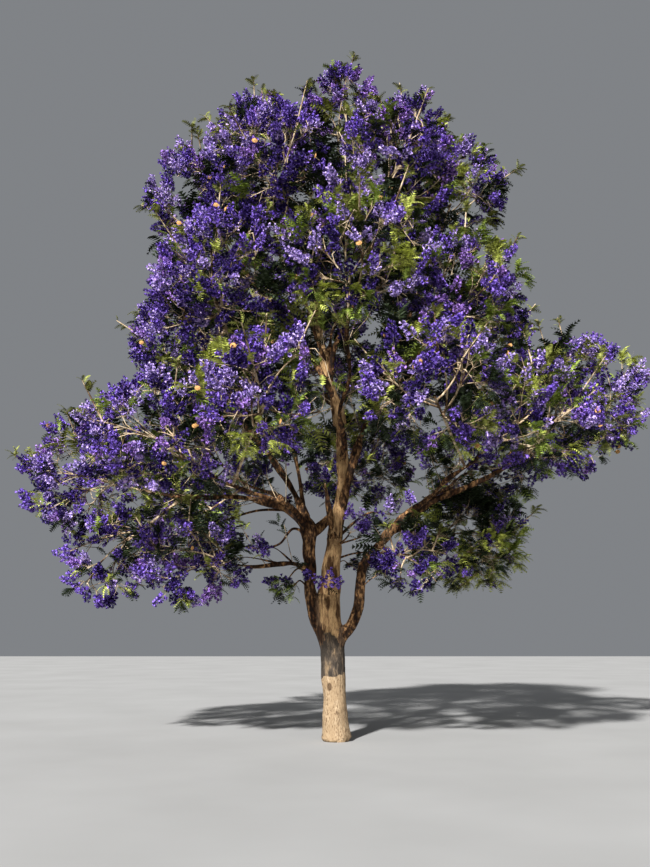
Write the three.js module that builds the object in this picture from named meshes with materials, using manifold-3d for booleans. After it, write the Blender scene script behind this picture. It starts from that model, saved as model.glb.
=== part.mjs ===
// A jacaranda in full bloom: trunk, boughs and the masses of blossom and ferny leaves that they carry.
// Millimetres, +Z up. The origin is the middle of the flat cut under the trunk, at ground level.
// +X is to the right and +Y away, for someone who looks at the tree's front.
import * as THREE from "three";
import { mergeVertices } from "three/addons/utils/BufferGeometryUtils.js";
import Module from "manifold-3d";

const wasm = await Module();
wasm.setup();

// Driving dimensions
const CLEARANCE = 0.3; // between pieces that meet
const FORK_HEIGHT = 1900; // where the trunk ends and the leader goes on
const TRUNK_RADIUS = 198; // at breast height
const FLARE_RADIUS = 46; // how far the root flare stands out at the ground
const FLARE_HEIGHT = 190; // in which the flare fades to a third
const FLARE_RIBS = 5;
const FLARE_RIB_DEPTH = 0.09; // of the radius, at the ground

// Numbers of sides and rings
const TRUNK_SIDES = 18;
const TRUNK_RINGS = 10;
const TRUNK_CROWDING = 1.8; // its rings crowd towards the ground, where it flares
const BOUGH_SIDES = 6;
const BOUGH_RINGS = 5;
const TWIG_SIDES = 3;
const PANICLE_SIDES = 4;

// How a bough runs from its parent to its mass
const BOUGH_PULL = 0.36; // share of its length over which each end keeps its direction
const BOUGH_CROOK = 0.028; // sideways sway, as a share of its length
const BOUGH_WAVES = 1.5; // of that sway
const BOUGH_TAPER = 0.8; // power of its place: under 1 it thins faster near its root
const ENTRY = 0.86; // where it ends, as a share of the mass's reach

// How twigs, leaves and panicles fill a mass. A share is of the room that the mass has that way,
// a size is a share of its mean reach.
const SEED = 1039;
const TWIGS_PER_MASS = 7;
const TWIG_ORDER = 5; // steps along the stem from one twig's foot to the next one's
const FEET = [0.3, 1]; // the stretch of the stem, from entry to heart, that twigs grow from
const TURN_BACK = 0.75; // a twig whose way to the entry has a cosine over this is left out
const LOWEST = -0.75; // how steeply the lowest twig points down, as the sine of its angle
const HEART = 0.2; // the stem's end, from the middle towards the entry
const TWIG_END = 0.58; // share of the room
const TIP_END = 0.985; // share of the room
const SIDE_LEAVES = 8; // in each mass, besides the spray at the end of each twig
const LEAF_STRETCH = [0.3, 1]; // of the twig, that they grow from
const LEAF_TRIES = 40;
const LEAF_LENGTH = 0.84; // size
const LEAF_WIDTH = 0.54; // size
const LEAF_THICKNESS = 0.024; // size
const LEAF_WIDEST = 0.45; // where along it a leaf is widest
const LEAF_SPREAD = 0.9; // how far a leaf turns towards its twig's tip
const LEAF_SHRINK = [1, 0.75]; // a leaf that does not fit is tried smaller
const PANICLE_WIDTH = 0.32; // size
const PANICLE_WIDEST = 0.42;
const SPRAY_GAP = 0.28; // size, between the outer parts of two sprays
const OUTER_PART = 0.4; // where along it a spray's outer part begins
const TWIG_RADIUS = 17;
const TWIG_END_RADIUS = 11;
const SPRAY_ROOT = 0.92; // where on its twig the spray at the end is rooted
const STEM_SHARE = 0.75; // of the radius of what it grows from
const ROOT_SUNK = 60; // how deep a root starts inside what carries it
const CELL_MARGIN = 12; // between a mass and the plane it shares with its neighbour
const LIMB_MARGIN = 10; // between foliage and a limb

// How far a surface may move as needless corners go
const FUSE_TOLERANCE = 0.8; // after twigs and leaves are fused
const CUT_TOLERANCE = 0.02; // after a cut
const SAME_PLACE = 1e-3; // two corners as close as this are one

// The limbs that show bare: the trunk, the leader, the left stem and the right limb in two lengths.
// path: points on the axis. radii: at the first and last point.
const STEMS = [
  { name: "trunk", sides: TRUNK_SIDES, radii: [TRUNK_RADIUS, 190],
    path: [[0, 0, 0], [-12, 0, 500], [-30, 0, 1000], [-55, 0, 1500], [-85, 0, FORK_HEIGHT]] },
  { name: "leader", parent: "trunk", sides: 10, radii: [186, 26],
    path: [[-83, 0, 1850], [-98, 0, 2400], [-15, 10, 3150], [125, 20, 4250], [70, 50, 5300],
      [-165, 90, 6300], [-330, 140, 7400], [-300, 180, 8600], [40, 200, 9800]],
    girth: [1, 0.93, 0.6, 0.53, 0.49, 0.44, 0.36, 0.26, 0.14] },
  { name: "left_stem", parent: "trunk", sides: 8, radii: [120, 96],
    path: [[-130, 25, 1560], [-330, 40, 1880], [-425, 30, 2350], [-415, 10, 2900], [-450, 0, 3420]] },
  { name: "right_limb_lower", parent: "trunk", sides: 8, radii: [92, 84],
    path: [[30, -40, 1530], [240, -60, 1760], [385, -60, 2060], [415, -60, 2450]] },
  { name: "right_limb_upper", parent: "right_limb_lower", sides: 8, radii: [84, 46],
    path: [[414, -60, 2400], [445, -60, 2700], [720, -90, 3080], [1080, -130, 3470], [1640, -180, 3800],
      [2500, -140, 4180], [3250, -60, 4600]] },
];

// The boughs that grow from them. at: where on the parent, from 0 at its root to 1 at its tip.
// to: the mass it carries. radii: at its root and at its tip.
const BOUGHS = [
  { name: "left_arch", parent: "left_stem", at: 0.97,
    to: "left_far", radii: [74, 34], rise: 260 },
  { name: "left_low_bough", parent: "left_stem", at: 0.62,
    to: "skirt_left", radii: [46, 24], rise: 120 },
  { name: "left_front_bough", parent: "left_stem", at: 0.93,
    to: "left_front", radii: [58, 28], rise: 260 },
  { name: "left_back_bough", parent: "left_stem", at: 0.9,
    to: "left_back", radii: [58, 28], rise: 260 },
  { name: "left_riser", parent: "left_stem", at: 0.97,
    to: "middle_left", radii: [66, 30], rise: 620 },
  { name: "left_back_riser", parent: "left_riser", at: 0.42,
    to: "middle_left_back", radii: [42, 24], rise: 380 },
  { name: "right_low_bough", parent: "right_limb_upper", at: 0.42,
    to: "skirt_right", radii: [40, 24], rise: 60 },
  { name: "right_spray_bough", parent: "right_limb_upper", at: 0.3,
    to: "skirt_right_front", radii: [28, 18], rise: 40 },
  { name: "right_front_bough", parent: "right_limb_upper", at: 0.5,
    to: "right_front", radii: [48, 26], rise: 160 },
  { name: "right_back_bough", parent: "right_limb_upper", at: 0.55,
    to: "right_back", radii: [48, 26], rise: 160 },
  { name: "back_bough", parent: "leader", at: 0.31,
    to: "back", radii: [60, 28], rise: 420 },
  { name: "front_bough", parent: "leader", at: 0.4,
    to: "middle_front", radii: [54, 26], rise: 420 },
  { name: "back_upper_bough", parent: "leader", at: 0.44,
    to: "middle_back", radii: [52, 26], rise: 420 },
  { name: "right_riser", parent: "leader", at: 0.26,
    to: "upper_right", radii: [78, 30], rise: 1500 },
  { name: "right_side_bough", parent: "right_riser", at: 0.42,
    to: "middle_right", radii: [44, 24], rise: 260 },
  { name: "right_riser_front", parent: "right_riser", at: 0.36,
    to: "middle_right_front", radii: [42, 24], rise: 260 },
  { name: "right_riser_back", parent: "right_riser", at: 0.38,
    to: "middle_right_back", radii: [42, 24], rise: 260 },
  { name: "left_upper_bough", parent: "leader", at: 0.53,
    to: "upper_left", radii: [50, 24], rise: 480 },
  { name: "front_left_bough", parent: "leader", at: 0.6,
    to: "upper_front_left", radii: [44, 22], rise: 420 },
  { name: "front_right_bough", parent: "leader", at: 0.57,
    to: "upper_front_right", radii: [44, 22], rise: 420 },
  { name: "back_right_bough", parent: "leader", at: 0.62,
    to: "upper_back_right", radii: [42, 22], rise: 420 },
  { name: "back_left_bough", parent: "leader", at: 0.65,
    to: "upper_back_left", radii: [42, 22], rise: 420 },
  { name: "top_left_bough", parent: "leader", at: 0.76,
    to: "top_left", radii: [36, 20], rise: 420 },
  { name: "top_right_bough", parent: "leader", at: 0.79,
    to: "top_right", radii: [36, 20], rise: 420 },
];

// The masses of foliage. bough: what its stem grows from, at its tip unless at says where.
// bloom: the share of twigs that end in blossom.
const MASSES = [
  { name: "skirt_left_outer", bough: "left_arch", at: 0.8,
    centre: [-3600, -330, 2950], reach: [1000, 1000, 850], bloom: 0.8 },
  { name: "skirt_left", bough: "left_low_bough",
    centre: [-2350, -650, 2800], reach: [1100, 1150, 800], bloom: 0.7 },
  { name: "skirt_left_back", bough: "left_back_bough", at: 0.8,
    centre: [-2900, 1850, 3600], reach: [1200, 1150, 850], bloom: 0.6 },
  { name: "skirt_right", bough: "right_low_bough",
    centre: [2350, 650, 3250], reach: [1150, 1200, 950], bloom: 0.25 },
  { name: "skirt_right_front", bough: "right_spray_bough",
    centre: [1200, -1150, 2750], reach: [740, 740, 540], bloom: 0.8 },
  { name: "left_far", bough: "left_arch",
    centre: [-4150, -150, 4200], reach: [1230, 1500, 1080], bloom: 0.95 },
  { name: "left_front", bough: "left_front_bough",
    centre: [-2600, -2400, 4300], reach: [1200, 1300, 1100], bloom: 0.8 },
  { name: "front_left", bough: "left_front_bough", at: 0.8,
    centre: [-950, -3250, 4750], reach: [1200, 1200, 1050], bloom: 0.75 },
  { name: "front_right", bough: "right_front_bough", at: 0.82,
    centre: [1250, -3250, 4850], reach: [1200, 1200, 1050], bloom: 0.6 },
  { name: "right_front", bough: "right_front_bough",
    centre: [2850, -2100, 4800], reach: [1200, 1300, 1050], bloom: 0.5 },
  { name: "right_far", bough: "right_limb_upper",
    centre: [4250, 150, 5600], reach: [1250, 1500, 1350], bloom: 0.6 },
  { name: "right_back", bough: "right_back_bough",
    centre: [3100, 2600, 5100], reach: [1300, 1350, 1200], bloom: 0.5 },
  { name: "back", bough: "back_bough",
    centre: [500, 3700, 5250], reach: [1500, 1300, 1150], bloom: 0.6 },
  { name: "left_back", bough: "left_back_bough",
    centre: [-2500, 2900, 5200], reach: [1450, 1350, 1200], bloom: 0.7 },
  { name: "middle_left", bough: "left_riser",
    centre: [-2550, 0, 6650], reach: [1150, 1400, 1450], bloom: 0.9 },
  { name: "middle_left_front", bough: "left_riser", at: 0.8,
    centre: [-1750, -2400, 6650], reach: [1200, 1250, 1350], bloom: 0.8 },
  { name: "middle_front", bough: "front_bough",
    centre: [200, -2900, 6950], reach: [1250, 1200, 1300], bloom: 0.65 },
  { name: "middle_right_front", bough: "right_riser_front",
    centre: [1950, -1950, 6750], reach: [1000, 1200, 1200], bloom: 0.55 },
  { name: "middle_right", bough: "right_side_bough",
    centre: [2650, 350, 6950], reach: [980, 1350, 1250], bloom: 0.55 },
  { name: "middle_right_back", bough: "right_riser_back",
    centre: [2050, 2600, 7250], reach: [1250, 1300, 1350], bloom: 0.6 },
  { name: "middle_back", bough: "back_upper_bough",
    centre: [-350, 3150, 7400], reach: [1400, 1200, 1350], bloom: 0.7 },
  { name: "middle_left_back", bough: "left_back_riser",
    centre: [-2300, 2150, 7250], reach: [1250, 1300, 1350], bloom: 0.8 },
  { name: "upper_left", bough: "left_upper_bough",
    centre: [-2450, 50, 9250], reach: [1050, 1350, 1350], bloom: 0.95 },
  { name: "upper_front_left", bough: "front_left_bough",
    centre: [-1050, -1800, 9000], reach: [1200, 1150, 1300], bloom: 0.9 },
  { name: "upper_front_right", bough: "front_right_bough",
    centre: [950, -1750, 8950], reach: [1150, 1150, 1300], bloom: 0.75 },
  { name: "upper_right", bough: "right_riser",
    centre: [2250, 150, 9650], reach: [980, 1300, 1200], bloom: 0.6 },
  { name: "upper_back_right", bough: "back_right_bough",
    centre: [1050, 2100, 9300], reach: [1250, 1200, 1300], bloom: 0.8 },
  { name: "upper_back_left", bough: "back_left_bough",
    centre: [-1150, 2000, 9350], reach: [1250, 1200, 1300], bloom: 0.9 },
  { name: "top_left", bough: "top_left_bough",
    centre: [-1350, 50, 10550], reach: [1050, 1250, 1050], bloom: 0.9 },
  { name: "top_middle", bough: "leader",
    centre: [100, 150, 11100], reach: [850, 1150, 1130], bloom: 0.85 },
  { name: "top_right", bough: "top_right_bough",
    centre: [1350, 100, 10600], reach: [850, 1150, 1050], bloom: 0.8 },
];

const BARK = new THREE.MeshStandardMaterial({ color: 0x9a7c5a, roughness: 0.9, metalness: 0 });
const BLOSSOM = new THREE.MeshStandardMaterial({ color: 0x6350bd, roughness: 0.7, metalness: 0 });
const FOLIAGE = new THREE.MeshStandardMaterial({ color: 0x6b7f35, roughness: 0.8, metalness: 0 });
const MOSTLY_BLOSSOM = 0.6; // a mass with at least this bloom takes the blossom's colour

const vector = (list) => new THREE.Vector3(...list);
const mix = (a, b, t) => a.clone().lerp(b, t);
const mix1 = THREE.MathUtils.lerp;

// Seeded numbers from 0 to 1, by the minimal standard generator.
function seededRandom(seed) {
  let state = seed;
  return () => {
    state = (state * 48271) % 2147483647;
    return state / 2147483647;
  };
}

// A closed solid from a list of vertices and a list of triangles.
function solidFrom(vertices, triangles) {
  const geometry = new THREE.BufferGeometry();
  const numbers = vertices.flatMap((v) => [v.x, v.y, v.z]);
  geometry.setAttribute("position", new THREE.Float32BufferAttribute(numbers, 3));
  geometry.setIndex(triangles.flat());
  const merged = mergeVertices(geometry, SAME_PLACE);
  return new wasm.Manifold(new wasm.Mesh({
    numProp: 3,
    vertProperties: merged.attributes.position.array,
    triVerts: new Uint32Array(merged.index.array),
  }));
}

// Axes across a path at each of its points, carried along it without twist.
function framesAlong(points) {
  const tangents = points.map((p, i) => {
    const ahead = points[Math.min(i + 1, points.length - 1)];
    return ahead.clone().sub(points[Math.max(i - 1, 0)]).normalize();
  });
  const upright = Math.abs(tangents[0].z) > 0.9 ? vector([1, 0, 0]) : vector([0, 0, 1]);
  let across = upright.addScaledVector(tangents[0], -upright.dot(tangents[0])).normalize();
  return tangents.map((tangent) => {
    across = across.clone().addScaledVector(tangent, -across.dot(tangent)).normalize();
    return { tangent, across, along: tangent.clone().cross(across) };
  });
}

const LEVEL = { across: vector([1, 0, 0]), along: vector([0, 1, 0]) };

// A tapered solid with flat ends that follows points. radiusAt gives the radius at ring i and angle a.
// Its rings lie across the points' path, or level.
function sweep(points, sides, radiusAt, level = false) {
  const frames = level ? points.map(() => LEVEL) : framesAlong(points);
  const vertices = [];
  const triangles = [];
  points.forEach((point, i) => {
    for (let k = 0; k < sides; k += 1) {
      const a = (2 * Math.PI * k) / sides;
      const r = radiusAt(i, a);
      vertices.push(point.clone()
        .addScaledVector(frames[i].across, r * Math.cos(a))
        .addScaledVector(frames[i].along, r * Math.sin(a)));
    }
  });
  const last = (points.length - 1) * sides;
  for (let k = 0; k < sides; k += 1) {
    const next = (k + 1) % sides;
    for (let ring = 0; ring < last; ring += sides) {
      triangles.push([ring + k, ring + next, ring + sides + next]);
      triangles.push([ring + k, ring + sides + next, ring + sides + k]);
    }
    if (k > 1) {
      triangles.push([0, k, k - 1]);
      triangles.push([last, last + k - 1, last + k]);
    }
  }
  return solidFrom(vertices, triangles);
}

// Limbs: an axis with a radius at each point, and the solid round it.

function rootFlare(z) {
  return Math.exp((-z / FLARE_HEIGHT) * Math.log(3));
}

function limbSolid(limb, extra) {
  const points = limb.points.map((p) => p.clone());
  const end = points.length - 1;
  const onward = points[end].clone().sub(points[end - 1]).normalize();
  points[end].addScaledVector(onward, extra);
  return sweep(points, limb.sides, (i, a) => {
    if (limb.name !== "trunk") return limb.radii[i] + extra;
    const flare = rootFlare(points[i].z);
    const ribs = 1 + FLARE_RIB_DEPTH * flare * Math.cos(FLARE_RIBS * a);
    return (limb.radii[i] + FLARE_RADIUS * flare) * ribs + extra;
  }, limb.name === "trunk");
}

function stemLimb({ name, path, radii, girth, sides }) {
  const curve = new THREE.CatmullRomCurve3(path.map(vector));
  const count = name === "trunk" ? TRUNK_RINGS : 2 * path.length - 1;
  const crowding = name === "trunk" ? TRUNK_CROWDING : 1;
  const places = Array.from({ length: count }, (_, i) => (i / (count - 1)) ** crowding);
  const radiusAt = (t) => {
    if (!girth) return mix1(radii[0], radii[1], t);
    const place = t * (girth.length - 1);
    const before = Math.min(Math.floor(place), girth.length - 2);
    return radii[0] * mix1(girth[before], girth[before + 1], place - before);
  };
  return { name, sides, points: places.map((t) => curve.getPoint(t)), radii: places.map(radiusAt) };
}

// The point of a limb's axis at t, with its direction and radius there.
function placeOn(limb, t) {
  const place = t * (limb.points.length - 1);
  const i = Math.min(Math.floor(place), limb.points.length - 2);
  return {
    point: mix(limb.points[i], limb.points[i + 1], place - i),
    onward: limb.points[i + 1].clone().sub(limb.points[i]).normalize(),
    radius: mix1(limb.radii[i], limb.radii[i + 1], place - i),
  };
}

// Where a mass is entered by what comes from a point.
function entryOf(mass, from) {
  const reach = vector(mass.reach);
  const centre = vector(mass.centre);
  const away = from.clone().sub(centre);
  return centre.addScaledVector(away, ENTRY / away.clone().divide(reach).length());
}

function boughLimb({ name, at, to, radii, rise }, parentLimb, index) {
  const mass = MASSES.find((m) => m.name === to);
  const start = placeOn(parentLimb, at);
  const end = entryOf(mass, start.point);
  const arrive = vector(mass.centre).sub(end).normalize();
  const straight = end.clone().sub(start.point);
  const length = straight.length();
  const leave = start.onward.clone().add(straight.clone().normalize()).normalize();
  leave.z += rise / length;
  leave.normalize();
  const curve = new THREE.CubicBezierCurve3(
    start.point,
    start.point.clone().addScaledVector(leave, BOUGH_PULL * length),
    end.clone().addScaledVector(arrive, -BOUGH_PULL * length),
    end,
  );
  const across = straight.clone().cross(vector([0, 0, 1])).normalize();
  const points = [];
  const girths = [];
  for (let i = 0; i < BOUGH_RINGS; i += 1) {
    const t = i / (BOUGH_RINGS - 1);
    const sway = Math.sin(2 * Math.PI * BOUGH_WAVES * t + index) * Math.sin(Math.PI * t);
    points.push(curve.getPoint(t).addScaledVector(across, sway * BOUGH_CROOK * length));
    girths.push(mix1(radii[0], radii[1], t ** BOUGH_TAPER));
  }
  return { name, sides: BOUGH_SIDES, points, radii: girths };
}

// Masses: the space that each keeps to

const meanReach = (mass) => Math.cbrt(mass.reach[0] * mass.reach[1] * mass.reach[2]);

// How far a mass's space goes from its centre: to its reach, or to the plane it shares with a neighbour.
function roomAlong(mass, direction) {
  const toReach = 1 / direction.clone().divide(vector(mass.reach)).length();
  const toPlanes = MASSES.filter((other) => other !== mass).map((other) => {
    const apart = vector(other.centre).sub(vector(mass.centre));
    const middle = (apart.lengthSq() + meanReach(mass) ** 2 - meanReach(other) ** 2) / 2;
    const share = direction.dot(apart);
    return share > 0 ? (middle - CELL_MARGIN * apart.length()) / share : Infinity;
  });
  return Math.min(toReach, ...toPlanes);
}

function inSpace(mass, p) {
  const away = p.clone().sub(vector(mass.centre));
  const distance = away.length();
  return distance <= roomAlong(mass, away.normalize());
}

// The least distance between two straight pieces, a to b and c to d.
function gapBetween(a, b, c, d) {
  const u = b.clone().sub(a);
  const v = d.clone().sub(c);
  const w = a.clone().sub(c);
  const [uu, uv, vv, uw, vw] = [u.dot(u), u.dot(v), v.dot(v), u.dot(w), v.dot(w)];
  const clamp = (x) => THREE.MathUtils.clamp(x, 0, 1);
  const skew = uu * vv - uv * uv;
  let s = skew > 0 ? clamp((uv * vw - vv * uw) / skew) : 0;
  const t = clamp((uv * s + vw) / vv);
  s = clamp((uv * t - uw) / uu);
  return mix(a, b, s).distanceTo(mix(c, d, t));
}

function clearOfLimbs(a, b, width, limbs) {
  return limbs.every((limb) => limb.points.slice(1).every((point, i) => {
    const room = Math.max(limb.radii[i], limb.radii[i + 1]) + width + LIMB_MARGIN;
    return gapBetween(a, b, limb.points[i], point) > room;
  }));
}

// The shapes that a mass is fused from. Each is { solid, corners }.

// A leaf spray: a kite from base to tip, flat below, with its ridge towards up.
function leafShape(base, tip, width, thickness, up) {
  const along = tip.clone().sub(base);
  const side = along.clone().cross(up).normalize().multiplyScalar(width / 2);
  const normal = side.clone().cross(along).normalize().multiplyScalar(thickness);
  const wide = mix(base, tip, LEAF_WIDEST);
  const vertices = [base, tip, wide.clone().add(side), wide.clone().sub(side), wide.clone().add(normal)];
  const triangles = [[0, 2, 4], [2, 1, 4], [1, 3, 4], [3, 0, 4], [2, 0, 3], [1, 2, 3]];
  return { solid: outwards(vertices, triangles), corners: vertices };
}

// A panicle of blossom: a spindle from base to tip that is widest near its base.
function panicleShape(base, tip, radius) {
  const ring = ringAcross(base, tip, PANICLE_WIDEST, radius);
  const vertices = [base, tip, ...ring];
  const triangles = ring.flatMap((_, k) => {
    const here = 2 + k;
    const next = 2 + ((k + 1) % ring.length);
    return [[0, next, here], [1, here, next]];
  });
  return { solid: outwards(vertices, triangles), corners: vertices };
}

function ringAcross(base, tip, t, radius) {
  const [frame] = framesAlong([base, tip]);
  const middle = mix(base, tip, t);
  return Array.from({ length: PANICLE_SIDES }, (_, k) => {
    const a = (2 * Math.PI * k) / PANICLE_SIDES;
    return middle.clone()
      .addScaledVector(frame.across, radius * Math.cos(a))
      .addScaledVector(frame.along, radius * Math.sin(a));
  });
}

// A solid from triangles that may all face inwards.
function outwards(vertices, triangles) {
  const made = solidFrom(vertices, triangles);
  return made.volume() > 0 ? made : solidFrom(vertices, triangles.map(([a, b, c]) => [a, c, b]));
}

// Evenly spread directions, from straight up to LOWEST. The level one points away from the trunk.
function directionsOf(mass) {
  const golden = Math.PI * (3 - Math.sqrt(5));
  const outward = Math.atan2(mass.centre[1], mass.centre[0]);
  const step = (1 - LOWEST) / (TWIGS_PER_MASS - 1);
  const level = Math.round(1 / step);
  return Array.from({ length: TWIGS_PER_MASS }, (_, k) => {
    const z = 1 - k * step;
    const flat = Math.sqrt(1 - z * z);
    const a = outward + golden * (k - level);
    return vector([flat * Math.cos(a), flat * Math.sin(a), z]);
  });
}

// The stem of a mass, from inside what carries it to the mass's heart.
function growStem(mass, limbs) {
  const start = placeOn(limbs.find((limb) => limb.name === mass.bough), mass.at ?? 1);
  const centre = vector(mass.centre);
  const entry = entryOf(mass, start.point);
  const heart = mix(centre, entry, HEART / ENTRY);
  const root = mass.at ? start.point : start.point.clone().addScaledVector(start.onward, -ROOT_SUNK);
  const bend = mass.at ? entry : mix(start.point, heart, 0.5);
  const radius = STEM_SHARE * start.radius;
  const radii = [radius, mix1(radius, TWIG_RADIUS, 0.5), TWIG_RADIUS];
  return { name: mass.name, points: [root, bend, heart], radii, entry, heart };
}

// The twigs of a mass, each with the line of the spray that ends it.
function growTwigs(mass, stem, random) {
  const centre = vector(mass.centre);
  const inwards = stem.entry.clone().sub(centre).normalize();
  return directionsOf(mass).map((direction, k) => {
    const order = ((k * TWIG_ORDER) % TWIGS_PER_MASS) / (TWIGS_PER_MASS - 1);
    const foot = mix(stem.entry, stem.heart, mix1(...FEET, order));
    const room = roomAlong(mass, direction);
    const end = centre.clone().addScaledVector(direction, TWIG_END * room);
    const tip = centre.clone().addScaledVector(direction, TIP_END * room);
    return { foot, end, tip, blooms: random() < mass.bloom, facing: direction.dot(inwards) };
  }).filter((twig) => twig.facing < TURN_BACK);
}

// A leaf's line from a seeded place on a twig, at a seeded angle round it.
function growSideLeaf({ foot, end }, size, random) {
  const base = mix(foot, end, mix1(...LEAF_STRETCH, random()));
  const angle = 2 * Math.PI * random();
  const [{ tangent, across, along }] = framesAlong([foot, end]);
  const way = across.clone().multiplyScalar(Math.cos(angle))
    .addScaledVector(along, Math.sin(angle))
    .addScaledVector(tangent, LEAF_SPREAD)
    .normalize();
  return { base, tip: base.clone().addScaledVector(way, LEAF_LENGTH * size) };
}

// The solid of one mass, fused from what fits its space and clears the limbs and the other stems.
function massSolid(mass, index, limbs, stems) {
  const random = seededRandom(SEED * (index + 1));
  const size = meanReach(mass);
  const centre = vector(mass.centre);
  const stem = stems[index];
  const obstacles = [...limbs, ...stems.filter((other) => other !== stem)];
  const fits = (corners, a, b, width) =>
    corners.every((p) => inSpace(mass, p)) && clearOfLimbs(a, b, width, obstacles);
  const solids = [sweep(stem.points, TWIG_SIDES, (i) => stem.radii[i])];
  const sprays = [];
  const outerPart = (spray) => mix(spray.base, spray.tip, OUTER_PART);
  const crowded = (spray) => sprays.some((other) =>
    gapBetween(outerPart(spray), spray.tip, outerPart(other), other.tip) < SPRAY_GAP * size);

  // Adds a spray's shape, and says whether there was room for it.
  const add = (spray, shape, radius) => {
    if (crowded(spray) || !fits(shape.corners, spray.base, spray.tip, radius)) return false;
    sprays.push(spray);
    solids.push(shape.solid);
    return true;
  };
  const addLeaf = ({ base, tip }) => LEAF_SHRINK.some((share) => {
    const leaf = { base, tip: mix(base, tip, share) };
    const width = LEAF_WIDTH * size * share;
    const facing = mix(leaf.base, leaf.tip, 0.5).sub(centre);
    return add(leaf, leafShape(leaf.base, leaf.tip, width, LEAF_THICKNESS * size, facing), width / 2);
  });
  const addPanicle = (spray) => {
    const radius = (PANICLE_WIDTH * size) / 2;
    return add(spray, panicleShape(spray.base, spray.tip, radius), radius);
  };

  const twigs = growTwigs(mass, stem, random)
    .filter(({ foot, end }) => fits([end], foot, end, TWIG_RADIUS));
  for (const { foot, end, tip, blooms } of twigs) {
    solids.push(sweep([foot, end], TWIG_SIDES, (i) => (i ? TWIG_END_RADIUS : TWIG_RADIUS)));
    (blooms ? addPanicle : addLeaf)({ base: mix(foot, end, SPRAY_ROOT), tip });
  }
  let placed = 0;
  for (let k = 0; k < LEAF_TRIES && placed < SIDE_LEAVES; k += 1) {
    if (addLeaf(growSideLeaf(twigs[k % twigs.length], size, random))) placed += 1;
  }
  return largestPiece(wasm.Manifold.union(solids), FUSE_TOLERANCE);
}

// Booleans between nodes

// The largest piece of a solid, without corners and edges that its surface can do without.
function largestPiece(solid, tolerance) {
  const pieces = solid.asOriginal().simplify(tolerance).decompose();
  return pieces.sort((a, b) => b.volume() - a.volume())[0];
}

function overlapping(a, b) {
  const [p, q] = [a.boundingBox(), b.boundingBox()];
  return [0, 1, 2].every((k) => p.min[k] < q.max[k] && q.min[k] < p.max[k]);
}

function cutBy(solid, tools) {
  const near = tools.filter((tool) => overlapping(solid, tool));
  return largestPiece(near.reduce((left, tool) => left.subtract(tool), solid), CUT_TOLERANCE);
}

function meshFrom(name, solid, material) {
  const { vertProperties, triVerts } = solid.getMesh();
  const geometry = new THREE.BufferGeometry();
  geometry.setAttribute("position", new THREE.BufferAttribute(new Float32Array(vertProperties), 3));
  geometry.setIndex(new THREE.BufferAttribute(new Uint32Array(triVerts), 1));
  geometry.computeVertexNormals();
  const mesh = new THREE.Mesh(geometry, material);
  mesh.name = name;
  return mesh;
}

// The tree

const tree = new THREE.Group();
const limbs = STEMS.map(stemLimb);
BOUGHS.forEach((bough, index) => {
  const parentLimb = limbs.find((limb) => limb.name === bough.parent);
  limbs.push(boughLimb(bough, parentLimb, index));
});

const cutters = [];
for (const limb of limbs) {
  tree.add(meshFrom(limb.name, cutBy(limbSolid(limb, 0), cutters), BARK));
  cutters.push(limbSolid(limb, CLEARANCE));
}
const stems = MASSES.map((mass) => growStem(mass, limbs));
MASSES.forEach((mass, index) => {
  const solid = cutBy(massSolid(mass, index, limbs, stems), cutters);
  tree.add(meshFrom(mass.name, solid, mass.bloom >= MOSTLY_BLOSSOM ? BLOSSOM : FOLIAGE));
});

export default tree;
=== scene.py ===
import itertools
import math

import bpy
import numpy as np
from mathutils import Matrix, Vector


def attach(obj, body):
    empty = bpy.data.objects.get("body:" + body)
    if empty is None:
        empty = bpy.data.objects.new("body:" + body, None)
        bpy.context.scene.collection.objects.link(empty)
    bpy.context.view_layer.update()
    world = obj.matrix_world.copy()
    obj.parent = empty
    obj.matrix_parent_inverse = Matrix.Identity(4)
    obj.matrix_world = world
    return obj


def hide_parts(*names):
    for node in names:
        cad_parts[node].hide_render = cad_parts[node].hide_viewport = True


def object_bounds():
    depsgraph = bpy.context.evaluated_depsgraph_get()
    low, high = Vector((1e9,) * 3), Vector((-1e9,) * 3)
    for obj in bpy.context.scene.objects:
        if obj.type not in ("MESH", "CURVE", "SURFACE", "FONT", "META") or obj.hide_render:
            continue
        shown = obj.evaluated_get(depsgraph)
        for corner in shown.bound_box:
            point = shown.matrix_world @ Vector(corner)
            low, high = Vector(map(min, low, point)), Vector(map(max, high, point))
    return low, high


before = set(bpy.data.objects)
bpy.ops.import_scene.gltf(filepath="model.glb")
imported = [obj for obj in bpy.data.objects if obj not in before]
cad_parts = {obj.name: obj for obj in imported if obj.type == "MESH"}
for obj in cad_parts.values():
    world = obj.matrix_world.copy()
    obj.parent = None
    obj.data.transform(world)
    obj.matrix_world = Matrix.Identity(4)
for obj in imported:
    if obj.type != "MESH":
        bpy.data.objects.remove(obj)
cad_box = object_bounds()

# Rules shared with the solids: how boughs run and how twigs fill a mass
SEED = 1039
FLARE_RADIUS = 0.046  # how far the root flare stands out at the ground
FLARE_HEIGHT = 0.19  # in which the flare fades to a third
FLARE_RIBS = 5
FLARE_RIB_DEPTH = 0.09  # of the radius, at the ground
BOUGH_PULL = 0.36  # share of its length over which each end keeps its direction
BOUGH_CROOK = 0.028  # sideways sway, as a share of its length
BOUGH_WAVES = 1.5  # of that sway
BOUGH_TAPER = 0.8  # power of its place: under 1 it thins faster near its root
FEWEST_STEPS = 8  # along a bough
ENTRY = 0.86  # where it ends, as a share of the mass's reach
TWIGS_PER_MASS = 7
TWIG_ORDER = 5  # steps along the stem from one twig's foot to the next one's
FEET = (0.3, 1)  # the stretch of the stem, from entry to heart, that twigs grow from
TURN_BACK = 0.75  # a twig whose way to the entry has a cosine over this is left out
LOWEST = -0.75  # how steeply the lowest twig points down, as the sine of its angle
HEART = 0.2  # the stem's end, from the middle towards the entry
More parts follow.
